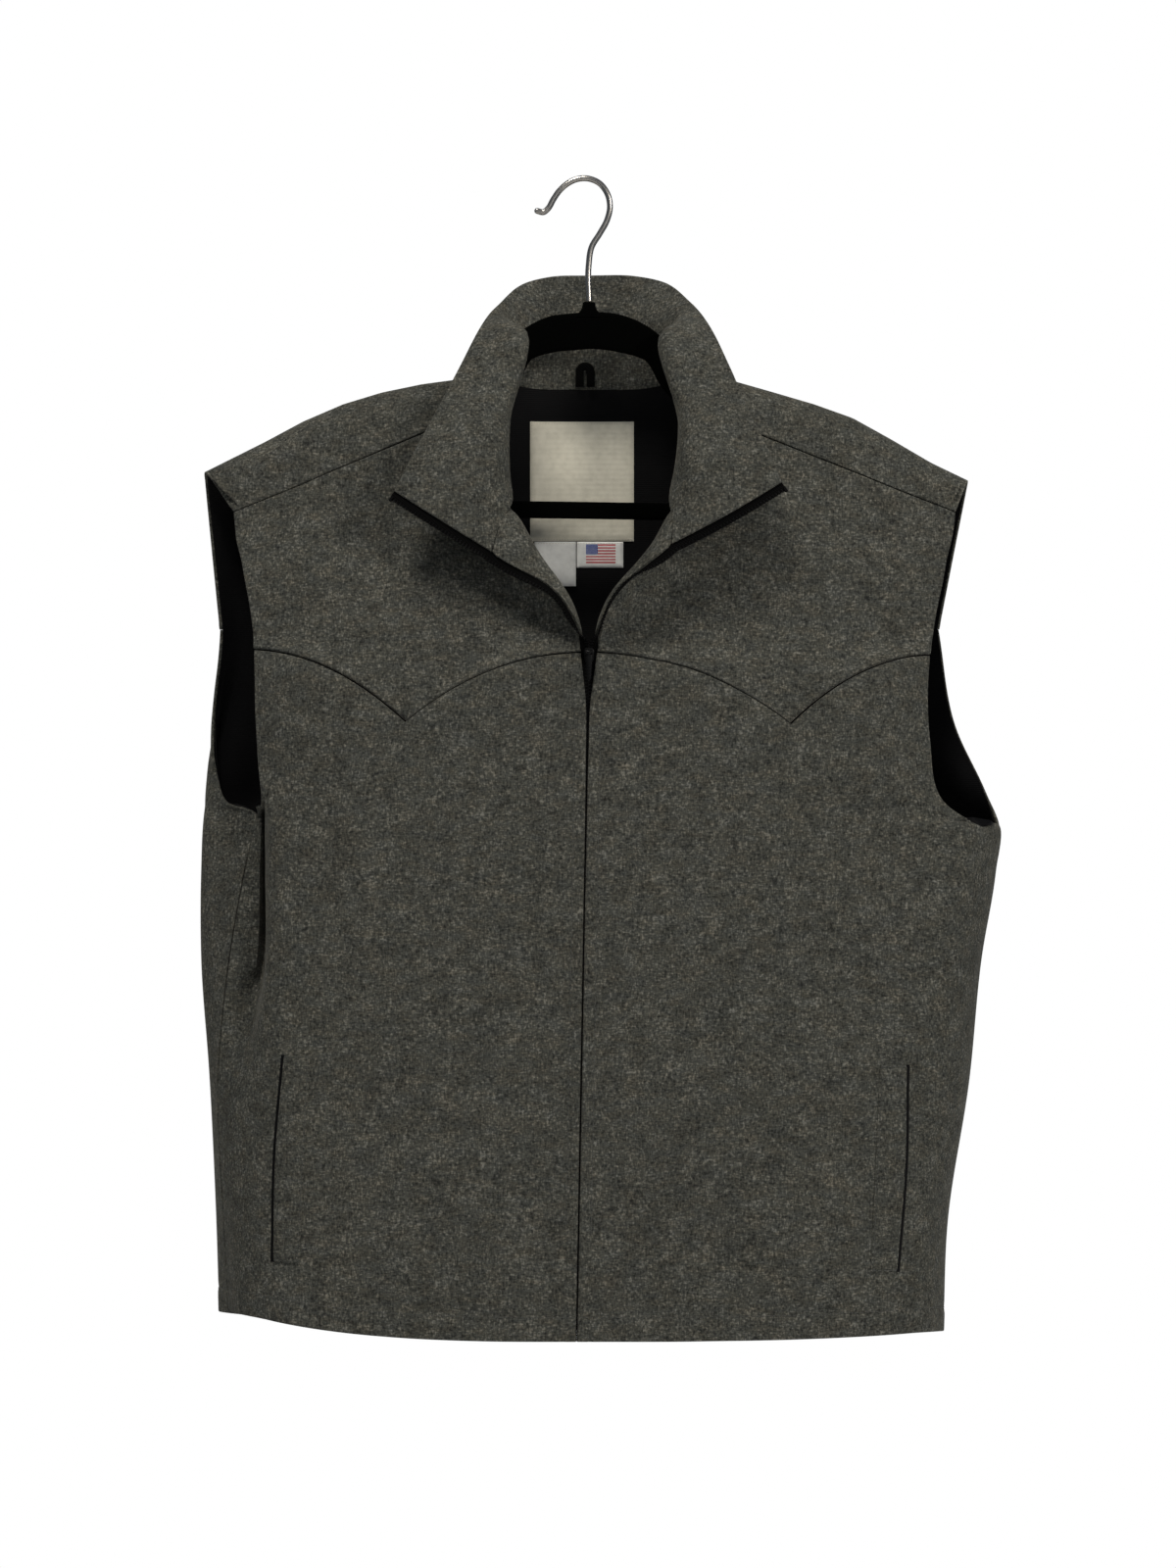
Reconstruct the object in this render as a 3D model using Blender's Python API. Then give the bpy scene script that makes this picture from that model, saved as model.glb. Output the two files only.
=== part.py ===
# Sleeveless wool vest with a stand collar, a western yoke and a half-open front zip, hung on a flat hanger.
# The garment's own frame is in millimetres: x to the viewer's right, y away from the viewer, z up.
# z = 0 is the inside of the hook's crown, y = 0 is the hanger's plane and x = 0 is the hook's stem.
# "Left" and "right" are the wearer's, so the left side lies at +x.
from collections import namedtuple

import bmesh
import bpy
import numpy as np
from mathutils import Vector
from mathutils.bvhtree import BVHTree

MM = 0.001
LEFT, RIGHT = 1, -1
SIDE_NAME = {LEFT: "left", RIGHT: "right"}

# Cloth thicknesses and the clearance between sewn pieces
WOOL = 2.2
FACING = 1.8
LINING = 1.0
LABEL = 1.0
GAP = 0.3
LINING_GAP = 1.0
SEAM = 0.15
YOKE_EASE = 0.3
LINING_EASE = 1.5
NECK_EASE = 1.3

# The stem stands this far beside the point where the hook hangs
STEM_X = 5.0

# The sections below are given as they face a viewer this far off, so nearer points draw in towards the middle
VIEW_DISTANCE, VIEW_Z = 2400.0, -437.0

# Front edges: half the gap that shows the zip by height, and how far the closed zip leans towards the hem
ZIP_Z, ZIP_HALF = (-400.0, -380.0, -341.0), (1.7, 2.0, 4.6)
LEAN_X, LEAN_TOP, LEAN_BOTTOM = -9.0, -341.0, -841.0

# Western yoke: how far its point hangs below the seam, where the point lies, and the two curves' powers
YOKE_DROP = 51.0
YOKE_POINT_X = {LEFT: 146.0, RIGHT: 133.0}
YOKE_INNER_POWER, YOKE_OUTER_POWER = 2.2, 2.0
YOKE_REACH = 130.0

# Sections of the tube from the hem to the armpit, with x counted outwards from the middle.
# z_in and z_out are the section's height at the middle and at the side seam.
BodyRow = namedtuple(
    "BodyRow",
    "z_in z_out front_y crest_x crest_y valley_x valley_y seam_x seam_y bulge_x bulge_y back_y",
)
BODY = {
    LEFT: [
        BodyRow(-841, -833, -56, 244, -36, 254, -17, 257, 0, 252, 13, 31),
        BodyRow(-760, -756, -57, 246, -36, 257, -17, 260, 0, 255, 14, 33),
        BodyRow(-660, -650, -57, 261, -35, 273, -16, 276, 0, 271, 15, 36),
        BodyRow(-570, -562, -55, 269, -34, 281, -15, 285, 0, 280, 15, 38),
        BodyRow(-505, -502, -53, 279, -31, 291, -14, 295, 0, 290, 15, 40),
        BodyRow(-462, -468, -51, 281, -28, 294, -13, 298, -1, 292, 14, 41),
    ],
    RIGHT: [
        BodyRow(-841, -819, -56, 238, -40, 253, -26, 261, -10, 268, 6, 31),
        BodyRow(-760, -752, -57, 242, -40, 257, -26, 265, -11, 270, 6, 33),
        BodyRow(-660, -648, -56, 241, -39, 255, -26, 269, -13, 275, 4, 36),
        BodyRow(-570, -562, -54, 234, -38, 242, -9, 261, -15, 281, 6, 38),
        BodyRow(-505, -500, -52, 232, -37, 234, 6, 250, -15, 281, 7, 40),
        BodyRow(-455, -459, -51, 233, -36, 233, 4, 241, -10, 279, 8, 41),
    ],
}
BODY_STEPS = [1, 1, 2, 2, 2]

# Front edge of the armhole, from just above the armpit to the yoke seam, and the share of the setback there
FrontArmRow = namedtuple("FrontArmRow", "z_in front_y edge_x edge_y edge_z setback")
FRONT_ARMHOLE = {
    LEFT: [
        FrontArmRow(-438, -50, 281, -26, -465, 0.85),
        FrontArmRow(-412, -49, 258, -33, -449, 1),
        FrontArmRow(-380, -48, 248, -32, -404, 1),
        FrontArmRow(-341, -47, 248, -27, -343, 1),
    ],
    RIGHT: [
        FrontArmRow(-437, -50, 238, -34, -449, 0.2),
        FrontArmRow(-414, -49, 240, -33, -428, 0.7),
        FrontArmRow(-380, -48, 242.5, -33, -388, 1),
        FrontArmRow(-341, -47, 243.5, -28, -339, 1),
    ],
}
FRONT_ARM_STEPS = [2, 1, 1, 2]
ARMHOLE_SETBACK = ((19.0, 8.0), (9.0, 4.0))
SHOULDER_SETBACK = ((19.0, 3.0), (9.0, 1.5))

# The opened front from the yoke seam to the shoulder seam: the zip or neck edge, the crest of the roll
# where the lapel turns outwards, the hollow under it, the chest and the armhole edge.
LapelRow = namedtuple(
    "LapelRow",
    "edge_x edge_y edge_z roll_x roll_y roll_z under_y chest_y arm_x arm_y arm_z",
)
LAPEL = {
    LEFT: [
        LapelRow(8, -49.5, -325, 7, -47.5, -326, -45.5, -45, 250, -26, -327),
        LapelRow(19, -54, -307, 15, -50, -311, -42, -42, 252, -25, -314),
        LapelRow(62, -59, -263, 52, -54, -262, -35, -35, 257, -22, -290),
        LapelRow(64, -55, -243, 62.5, -51, -242, -30, -29, 260, -19, -273),
        LapelRow(63, -47, -227, 67, -43, -229, -26, -24, 263, -16, -261),
        LapelRow(71, -34, -198, 78, -31, -202, -21, -19, 265, -13, -250),
        LapelRow(84, -19, -166, 93, -18, -170, -17, -15, 266, -11, -239),
    ],
    RIGHT: [
        LapelRow(8, -49.5, -325, 7, -47.5, -326, -45.5, -45, 244, -27, -326),
        LapelRow(19, -54, -308, 14, -50, -312, -42, -42, 246, -25, -310),
        LapelRow(72, -59, -268.5, 43, -54, -267, -35, -35, 250, -22, -288),
        LapelRow(66, -55, -247, 56.5, -51, -245, -30, -29, 253, -19, -272),
        LapelRow(60, -47, -229, 64, -43, -231, -26, -24, 256, -16, -260),
        LapelRow(70, -34, -199, 77, -31, -203, -21, -19, 257, -13, -250),
        LapelRow(84, -19, -166, 93, -18, -170, -17, -15, 258, -11, -239),
    ],
}
LAPEL_STEPS = [2, 2, 2, 2, 1, 2, 2]
UNDER_STEP, UNDER_DROP, LAPEL_SWELL = 14.0, 6.0, 0.05
NECK_POINT = 2

# Shoulder line that the hanger carries, outwards from the neck, and the roundness of the ridge
RIDGE = {
    LEFT: ((80, -141.5), (106, -145), (134, -153), (163, -161.5),
           (191, -171.5), (219, -187), (248, -204), (275, -217)),
    RIGHT: ((80, -141.5), (121, -147), (150, -153), (178, -161.5),
            (207, -174), (235, -189), (263, -203), (279, -211)),
}
RIDGE_RADIUS, RIDGE_FALL, BACK_POWER = 9.0, 7.0, 200.0

# Neck seam from the middle of the back to the ridge; it runs on to the shoulder seam
NECK_BACK = ((0, 38, -150.5), (40, 34, -149.5), (64, 22, -144.5), (76, 0, -141.5))
NECK_STEPS = [1, 1, 1, 2]

# Back armhole from just above the armpit to the back yoke seam, with the bulge behind its edge
BackArmRow = namedtuple("BackArmRow", "z_in edge_x edge_y edge_z bulge_x bulge_y back_y")
BACK_ARMHOLE = {
    LEFT: [
        BackArmRow(-430, 288, 7, -442, 274, 14, 41),
        BackArmRow(-394, 266, 15, -394, 252, 22, 41),
        BackArmRow(-332, 254, 19, -325, 240, 26, 40),
    ],
    RIGHT: [
        BackArmRow(-437, 256, -1, -447, 277, 11, 41),
        BackArmRow(-405, 268, 10, -424, 274, 17, 41),
        BackArmRow(-332, 268, 20, -325, 258, 26, 40),
    ],
}
BACK_ARM_STEPS = [2, 2, 2]
BACK_RISE = 9.0
BODY_CORNER, ARM_CORNER = (30.0, 0.78), (30.0, 0.84)
YOKE_ROWS_BACK, YOKE_ROWS_OVER = (0.0, 0.3, 0.55, 0.75, 0.9, 1.0), (0.33, 0.66, 1.0)
NECK_ROWS = (0.955, 0.97, 0.985, 1.0)
YOKE_FALLS = (0.7, 0.45, 0.25, 0.12, 0.05)

# Collar from the middle of the back to the front tip: its waist, where it leans towards the neck, and its top
CollarRow = namedtuple("CollarRow", "mid_x mid_y mid_z top_x top_y top_z")
COLLAR = {
    LEFT: [
        CollarRow(0, 36, -110, 0, 46, -69.5),
        CollarRow(31, 32, -110, 33, 43, -70),
        CollarRow(50, 21, -109, 58, 34, -76),
        CollarRow(64, 3, -110, 74, 14, -89),
        CollarRow(56.5, -19, -112, 86, -9, -106),
        CollarRow(72, -38, -156, 102, -30, -136),
        CollarRow(78, -53, -188, 115, -42, -166),
        CollarRow(92, -59, -217, 128, -46, -192),
        CollarRow(102, -58, -241, 139.5, -46, -219),
    ],
    RIGHT: [
        CollarRow(0, 36, -110, 0, 46, -69.5),
        CollarRow(29, 32, -110, 28, 43, -70.5),
        CollarRow(47, 21, -109, 50, 34, -76.5),
        CollarRow(63, 3, -110, 66, 14, -90),
        CollarRow(51, -19, -109, 77, -9, -107),
        CollarRow(62, -38, -156, 95, -30, -139),
        CollarRow(71, -53, -190, 112, -42, -171),
        CollarRow(92, -59, -222, 127, -46, -198),
        CollarRow(107, -58, -246.5, 141, -46, -225.5),
    ],
}
COLLAR_STEPS = [3, 3]

# Columns of the front net: how many strips lie between neighbouring control columns
FRONT_COLUMN_STEPS = [1, 2, 2, 1, 2, 2, 1, 2, 1]
UNDER_COLUMN = sum(FRONT_COLUMN_STEPS[:3])
CREST_COLUMN, BULGE_COLUMN = sum(FRONT_COLUMN_STEPS[:-2]), sum(FRONT_COLUMN_STEPS[-2:])
CLOSED_COLUMNS = (1.5, 3.2, 24.0)
HEM_CURVE, ARM_CURVE = 3.0, 1.5
CHEST_FULLNESS = (1.01, 0.97)
NORMAL_PASSES = 2

# Zip: width of tape that shows where it is open, its thickness, and how deep it sits in the edge
TAPE_OPEN, TAPE_START, TAPE, TAPE_DEPTH = 5.0, 0.38, 1.2, 1.2
SLIDER_Z, SLIDER_W, SLIDER_H, SLIDER_T = -345.0, 7.0, 10.0, 3.0
PULL_W, PULL_TIP_W, PULL_LENGTH, PULL_T = 4.6, 3.0, 20.0, 1.2
PULL_EYE, EYE_WALL, PIN_R, EAR = 1.0, 0.7, 0.65, 0.9

# Pocket welts: slit top and bottom (outward x, z), width towards the zip
WELT = {LEFT: ((225.7, -636.0), (218.8, -783.3)), RIGHT: ((216.6, -629.0), (224.3, -776.4))}
WELT_W, WELT_T, WELT_ROWS = 19.0, 1.3, 7

# Labels on the back lining: low x, high x, low z, high z
LABELS = {
    "label_main": (-43.2, 33.0, -258.2, -170.5),
    "label_care": (-40.0, -9.6, -291.3, -258.6),
    "label_origin": (-8.9, 25.2, -277.5, -258.6),
}
LOOP_X, LOOP_W, LOOP_H, LOOP_BAND, LOOP_T, LOOP_LEAN = -2.8, 14.0, 18.0, 4.4, 1.5, 2.4

# Hanger: centre line of one half from the neck round the arm's end to the bar, with half heights
HangerPoint = namedtuple("HangerPoint", "x z half")
HANGER = [
    HangerPoint(0, -108, 13.5),
    HangerPoint(24, -110.5, 13.3),
    HangerPoint(47, -121.5, 10.2),
    HangerPoint(59, -147.8, 5.4),
    HangerPoint(80, -163.4, 6.0),
    HangerPoint(106, -161.8, 6.2),
    HangerPoint(150, -170.4, 6.0),
    HangerPoint(190, -186, 6.0),
    HangerPoint(212, -200.8, 6.0),
    HangerPoint(222, -212.5, 6.0),
    HangerPoint(217, -229, 6.0),
    HangerPoint(198, -238, 6.2),
    HangerPoint(100, -238.5, 6.2),
    HangerPoint(0, -238.5, 6.2),
]
HANGER_T, HANGER_TILT = 5.0, 0.014
BOSS_TOP_W, BOSS_W, BOSS_Z = 10.0, 17.0, -87.5
HOOK_R = 2.2
HOOK = [(0, -86.9), (-0.3, -62), (2, -47.5), (8, -37.6), (13, -28.4), (15.2, -18.5), (13.3, -9),
        (7.5, -1.4), (-1, 2), (-9, 1.4), (-16, -2), (-21.5, -7), (-26, -13.5), (-29.5, -19.6),
        (-33, -22.4), (-37.5, -21.5)]

COLOURS = {
    "wool": ((0.052, 0.053, 0.048), 0.95, 0.0),
    "lining": ((0.004, 0.004, 0.005), 0.6, 0.0),
    "zip": ((0.004, 0.004, 0.004), 0.45, 0.0),
    "label_cream": ((0.55, 0.53, 0.45), 0.8, 0.0),
    "label_white": ((0.75, 0.75, 0.74), 0.8, 0.0),
    "velvet": ((0.002, 0.002, 0.002), 1.0, 0.0),
    "chrome": ((0.75, 0.74, 0.72), 0.18, 1.0),
}


# Curves and grids of points

def through(points, steps, corners=None):
    """Points on a smooth curve through the given ones, with that many strips in each interval.

    Corners give the sharpness, from 0 to 1, of the bend at some of the points.
    """
    corners = corners or {}
    points = np.asarray(points, float)
    spans = np.diff(points, axis=0)
    gaps = np.linalg.norm(spans, axis=1).clip(1e-6)[:, None]
    slopes = spans / gaps
    last = len(spans)

    def slope_at(i, own):
        if i in (0, last):
            return slopes[own]
        smooth = (gaps[i] * slopes[i - 1] + gaps[i - 1] * slopes[i]) / (gaps[i - 1] + gaps[i])
        return mix(smooth, slopes[own], corners.get(i, 0))

    found = [points[0]]
    for i, count in enumerate(steps):
        start, end = slope_at(i, i) * gaps[i], slope_at(i + 1, i) * gaps[i]
        for t in np.arange(1, count + 1) / count:
            found.append(
                (2 * t**3 - 3 * t**2 + 1) * points[i]
                + (t**3 - 2 * t**2 + t) * start
                + (3 * t**2 - 2 * t**3) * points[i + 1]
                + (t**3 - t**2) * end
            )
    return np.array(found)


def at_fractions(points, fractions, waypoint=None, later=()):
    """Points on the smooth curve at fractions of its length, or of the lengths to and from a waypoint."""
    dense = through(points, [8] * (len(points) - 1))
    along = np.concatenate([[0], np.cumsum(np.linalg.norm(np.diff(dense, axis=0), axis=1))])
    middle = along[-1] if waypoint is None else along[8 * waypoint]
    places = [middle * share for share in fractions]
    places += [middle + (along[-1] - middle) * share for share in later]
    return np.stack([np.interp(places, along, dense[:, k]) for k in range(3)], axis=1)


def loft(net, column_steps, row_steps, corners):
    """A grid of points on the smooth surface through a net of control rows.

    Corners name the rows where the first columns bend sharply: how many, and over how many that fades out.
    """
    wide = np.array([through(row, column_steps) for row in net])
    columns = []
    for j in range(wide.shape[1]):
        sharp = {row: np.clip((count - j) / fade, 0, 1) for row, (count, fade) in corners.items()}
        columns.append(through(wide[:, j], row_steps, sharp))
    return np.stack(columns, axis=1)


def unit(vectors):
    return vectors / np.linalg.norm(vectors, axis=-1, keepdims=True).clip(1e-9)


def normals_of(grid, sign):
    """Outward directions of a grid, evened out over neighbouring points."""
    found = sign * unit(np.cross(np.gradient(grid, axis=1), np.gradient(grid, axis=0)))
    for _ in range(NORMAL_PASSES):
        wide = np.pad(found, ((1, 1), (1, 1), (0, 0)), mode="edge")
        around = wide[:-2, 1:-1] + wide[2:, 1:-1] + wide[1:-1, :-2] + wide[1:-1, 2:]
        found = unit(found + 0.25 * around)
    return found


def eased(grid, bottom=0.0, top=0.0, start=0.0, end=0.0):
    """The grid with its borders drawn in along the surface, which leaves the gap at a seam."""
    grid = grid.copy()
    grid[0] += unit(grid[1] - grid[0]) * bottom
    grid[-1] += unit(grid[-2] - grid[-1]) * top
    grid[:, 0] += unit(grid[:, 1] - grid[:, 0]) * start
    grid[:, -1] += unit(grid[:, -2] - grid[:, -1]) * end
    return grid


def lean(z):
    share = np.clip((LEAN_TOP - z) / (LEAN_TOP - LEAN_BOTTOM), 0, 1)
    return LEAN_X * share


def drawn_in(grid):
    """The points moved from where they are seen to where they lie."""
    scale = 1 + grid[..., 1] / VIEW_DISTANCE
    return np.stack([grid[..., 0] * scale, grid[..., 1], VIEW_Z + (grid[..., 2] - VIEW_Z) * scale], axis=-1)


def mix(a, b, share):
    return np.asarray(a, float) * (1 - share) + np.asarray(b, float) * share


# Front panels

def closed_row(side, z_in, front_y, outer, curve):
    """Control row of the zipped front: three columns at the zip, three on the chest, then the outer ones."""
    start = side * lean(z_in) + np.interp(z_in, ZIP_Z, ZIP_HALF)
    crest_x, crest_y = outer[0]
    end_x = outer[2][0]
    z_out = outer[2][2]
    point_x = YOKE_POINT_X[side]
    near = [start] + [start + step for step in CLOSED_COLUMNS]
    chest = [(near[3] + point_x) / 2, point_x, (point_x + crest_x) / 2 + 4]
    y_point = front_y * CHEST_FULLNESS[1]
    xy = [(x, front_y) for x in near]
    xy += [(chest[0], front_y * CHEST_FULLNESS[0]), (chest[1], y_point)]
    xy += [(chest[2], (y_point + crest_y) / 2 - 5)]
    xy += [outer[0], outer[1], outer[2][:2]]
    return [(x, y, mix(z_in, z_out, ((x - start) / (end_x - start)) ** curve)) for x, y in xy]


def lapel_row(row):
    """Control row of the opened front, from the zip or neck edge round the roll and over the chest."""
    edge = np.array([row.edge_x, row.edge_y, row.edge_z], float)
    roll = np.array([row.roll_x, row.roll_y, row.roll_z], float)
    arm = np.array([row.arm_x, row.arm_y, row.arm_z], float)
    under = np.array([row.roll_x + UNDER_STEP, row.under_y, row.roll_z - UNDER_DROP])
    outer = [arm - (dx, dy, 0) for dx, dy in SHOULDER_SETBACK]
    chest = mix(under, outer[0], 0.5)
    chest[1] = row.chest_y
    swell = LAPEL_SWELL * max(0.0, row.edge_x - row.roll_x)
    points = [edge, mix(edge, roll, 0.5) - (0, swell, 0), roll, under, mix(under, chest, 0.5), chest]
    points += [mix(chest, outer[0], 0.5) + (0, -1.5, 0), *outer, arm]
    for point in points[4:9]:
        point[2] = mix(under[2], arm[2], (point[0] - under[0]) / (arm[0] - under[0]))
    return points


def yoke_drop(side, x):
    """How far the western yoke hangs below its straight seam at outward place x."""
    point_x, edge_x = YOKE_POINT_X[side], FRONT_ARMHOLE[side][-1].edge_x
    inner = np.clip(x / point_x, 0, 1) ** YOKE_INNER_POWER
    outer = np.clip((edge_x - x) / (edge_x - point_x), 0, 1) ** YOKE_OUTER_POWER
    return YOKE_DROP * np.where(x < point_x, inner, outer)


BACK_KEPT = [0, *range(UNDER_COLUMN, sum(FRONT_COLUMN_STEPS) + 1)]
SEAM_ROW = sum(BODY_STEPS) + sum(FRONT_ARM_STEPS)
ARMPIT_ROW = sum(BODY_STEPS)


def side_seam(side):
    return through([(r.seam_x, r.seam_y, r.z_out) for r in BODY[side]], BODY_STEPS)


def front_grid(side):
    """Points of one whole front, rows from the hem to the shoulder seam, columns from the zip outwards."""
    net = []
    for row in BODY[side]:
        outer = [(row.crest_x, row.crest_y), (row.valley_x, row.valley_y)]
        outer.append((row.seam_x, row.seam_y, row.z_out))
        net.append(closed_row(side, row.z_in, row.front_y, outer, HEM_CURVE))
    for row in FRONT_ARMHOLE[side]:
        outer = [(row.edge_x - dx * row.setback, row.edge_y - dy * row.setback) for dx, dy in ARMHOLE_SETBACK]
        outer.append((row.edge_x, row.edge_y, row.edge_z))
        net.append(closed_row(side, row.z_in, row.front_y, outer, ARM_CURVE))
    corners = {len(net) - 1: (UNDER_COLUMN, 1), len(net) + NECK_POINT: (UNDER_COLUMN, UNDER_COLUMN)}
    net += [lapel_row(row) for row in LAPEL[side]]
    grid = loft(net, FRONT_COLUMN_STEPS, BODY_STEPS + FRONT_ARM_STEPS + LAPEL_STEPS, corners)
    grid[: ARMPIT_ROW + 1, -1] = side_seam(side)
    seam_z = grid[SEAM_ROW, :, 2].copy()
    near = np.clip(1 - np.abs(grid[:, :, 2] - seam_z) / YOKE_REACH, 0, 1) ** 1.3
    grid[:, :, 2] -= near * yoke_drop(side, grid[SEAM_ROW, :, 0])
    return grid * (side, 1, 1)


# Back panels

def ridge_z(side, x):
    return np.interp(x, *np.array(RIDGE[side], float).T)


def neck_curve(side):
    """Neck seam from the middle of the back to the shoulder seam."""
    shoulder = LAPEL[side][-1]
    return through([*NECK_BACK, (shoulder.edge_x, shoulder.edge_y, shoulder.edge_z)], NECK_STEPS)


def yoke_column(side, top, seam, ridge_x):
    """One column of the back yoke, from its seam up the back and over the shoulder to its upper edge."""
    over = top[1] < -1
    crown = np.array([ridge_x, 0, ridge_z(side, ridge_x)]) if over else np.asarray(top, float)
    path = [seam]
    for fall in YOKE_FALLS:
        point = mix(crown, seam, fall)
        point[1] = mix(crown[1], seam[1], 1 - (1 - fall) ** (BACK_POWER / seam[1]))
        path.append(point)
    path.append(crown)
    if not over:
        return at_fractions(path, [*(NECK_ROWS[0] * np.array(YOKE_ROWS_BACK)), *NECK_ROWS[1:]])
    crown_place = len(path) - 1
    if top[1] < -RIDGE_RADIUS - 3:
        path.append(crown + (0, -RIDGE_RADIUS, -RIDGE_FALL))
    return at_fractions(path + [top], YOKE_ROWS_BACK, crown_place, YOKE_ROWS_OVER)


def bulge_points(row, corner):
    """Where a section of the back rounds from its outer edge into the flat of the back."""
    inset, share = corner
    corner_place = (row.bulge_x - inset, row.back_y * share)
    return [(row.bulge_x, row.bulge_y), corner_place, (row.bulge_x / 2, row.back_y)]


def back_half(side, front):
    """Points of half the back: rows from the hem to the neck and shoulder, columns from side to middle."""
    top_row = front[-1, BACK_KEPT] * (side, 1, 1)
    tops = np.concatenate([top_row[::-1], neck_curve(side)[-2::-1]])
    fractions = 1 - tops[:, 0] / tops[0, 0]
    profiles = []
    for row in BODY[side]:
        middle_z = row.z_in + BACK_RISE
        profile = [(row.seam_x, row.seam_y, row.z_out)]
        for x, y in bulge_points(row, BODY_CORNER):
            profile.append((x, y, mix(middle_z, row.z_out, min(1, x / row.seam_x) ** HEM_CURVE)))
        profiles.append([*profile, (0, row.back_y + 1, middle_z)])
    for row in BACK_ARMHOLE[side]:
        profile = [(row.edge_x, row.edge_y, row.edge_z)]
        for x, y in bulge_points(row, ARM_CORNER):
            profile.append((x, y, mix(row.z_in, row.edge_z, min(1, x / row.edge_x))))
        profiles.append([*profile, (0, row.back_y + 1, row.z_in)])
    near = fractions[: BULGE_COLUMN + 1] / fractions[BULGE_COLUMN]
    far = (fractions[BULGE_COLUMN + 1:] - fractions[BULGE_COLUMN]) / (1 - fractions[BULGE_COLUMN])
    net = np.array([at_fractions(profile, near, 1, far) for profile in profiles])
    lower = np.stack(
        [through(net[:, j], BODY_STEPS + BACK_ARM_STEPS) for j in range(net.shape[1])], axis=1
    )
    lower[: ARMPIT_ROW + 1, 0] = side_seam(side)
    spread = RIDGE[side][-1][0] - top_row[-1, 0]
    inner_x, outer_x = top_row[0, 0], top_row[-1, 0]
    upper = np.stack(
        [
            yoke_column(side, top, seam, top[0] + spread * max(0.0, (top[0] - inner_x) / (outer_x - inner_x)))
            for top, seam in zip(tops, lower[-1])
        ],
        axis=1,
    )
    grid = np.concatenate([lower, upper[1:]])
    return grid * (side, 1, 1)


def whole(right_half, left_half):
    """Two halves joined at the middle, with columns from the right side to the left."""
    return np.concatenate([right_half, left_half[:, ::-1][:, 1:]], axis=1)


# Solids

def material(name):
    made = bpy.data.materials.get(name)
    if made is None:
        colour, roughness, metallic = COLOURS[name]
        made = bpy.data.materials.new(name)
        made.use_nodes = True
        shader = made.node_tree.nodes["Principled BSDF"]
        shader.inputs["Base Color"].default_value = (*colour, 1)
        shader.inputs["Roughness"].default_value = roughness
        shader.inputs["Metallic"].default_value = metallic
    return made


def finish(obj, finish_name, smooth=True):
    obj.data.materials.append(material(finish_name))
    if smooth:
        obj.data.shade_smooth()
        obj.data.set_sharp_from_angle(angle=0.7)
    obj.parent = bpy.data.objects["garment"]
    return obj


def mesh_object(name, mesh):
    obj = bpy.data.objects.new(name, mesh)
    bpy.context.scene.collection.objects.link(obj)
    return obj


def wall(name, outer, inner, finish_name):
    """A closed wall between two matching grids of points."""
    across = np.cross(outer[1:, :-1] - outer[:-1, :-1], outer[:-1, 1:] - outer[:-1, :-1])
    if (across * (outer - inner)[:-1, :-1]).sum() > 0:
        outer, inner = outer[:, ::-1], inner[:, ::-1]
    rows, columns = outer.shape[:2]
    points = np.concatenate([outer.reshape(-1, 3), inner.reshape(-1, 3)]) * MM
    far = rows * columns

    def at(i, j):
        return i * columns + j

    faces = []
    for i in range(rows - 1):
        for j in range(columns - 1):
            a, b, c, d = at(i, j), at(i, j + 1), at(i + 1, j + 1), at(i + 1, j)
            faces += [(a, b, c, d), (a + far, d + far, c + far, b + far)]
    rim = [at(0, j) for j in range(columns)] + [at(i, columns - 1) for i in range(1, rows)]
    rim += [at(rows - 1, j) for j in range(columns - 2, -1, -1)] + [at(i, 0) for i in range(rows - 2, 0, -1)]
    for a, b in zip(rim, rim[1:] + rim[:1]):
        faces.append((a, a + far, b + far, b))
    mesh = bpy.data.meshes.new(name)
    mesh.from_pydata([tuple(p) for p in points], [], faces)
    return finish(mesh_object(name, mesh), finish_name)


def cloth(name, grid, normals, depth, thickness, finish_name):
    """A wall whose outer face lies this deep under the grid."""
    return wall(name, grid - normals * depth, grid - normals * (depth + thickness), finish_name)


def extruded(name, outline, y_front, y_back, finish_name, hole=None):
    """A flat piece with this outline in x and z, and a matching hole if one is given."""
    work = bmesh.new()
    loops = [outline] if hole is None else [outline, hole]
    rings = [
        [[work.verts.new(Vector((x, y, z)) * MM) for x, z in loop] for y in (y_front, y_back)]
        for loop in loops
    ]
    for front, back in rings:
        for i in range(len(front)):
            k = (i + 1) % len(front)
            work.faces.new((front[i], front[k], back[k], back[i]))
    for layer in (0, 1):
        if hole is None:
            work.faces.new(rings[0][layer])
        else:
            outer, inner = rings[0][layer], rings[1][layer]
            for i in range(len(outer)):
                k = (i + 1) % len(outer)
                work.faces.new((outer[i], outer[k], inner[k], inner[i]))
    bmesh.ops.recalc_face_normals(work, faces=work.faces)
    mesh = bpy.data.meshes.new(name)
    work.to_mesh(mesh)
    work.free()
    return finish(mesh_object(name, mesh), finish_name, smooth=False)


def surface_tree(grid):
    """A search tree over a grid of points, for pieces that lie on it."""
    rows, columns = grid.shape[:2]
    faces = [
        (i * columns + j, i * columns + j + 1, (i + 1) * columns + j + 1, (i + 1) * columns + j)
        for i in range(rows - 1)
        for j in range(columns - 1)
    ]
    return BVHTree.FromPolygons([Vector(p) for p in grid.reshape(-1, 3)], faces)


def lying_on(tree, places, towards):
    """Points and normals on a surface at these x and z places, seen along y."""
    points, normals = [], []
    for x, z in places:
        hit, normal, _, _ = tree.ray_cast(Vector((x, -300, z)), Vector((0, 1, 0)))
        points.append(hit)
        normals.append(normal * (1 if normal.y * towards > 0 else -1))
    return np.array(points), np.array(normals)


# Pieces of the garment

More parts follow.
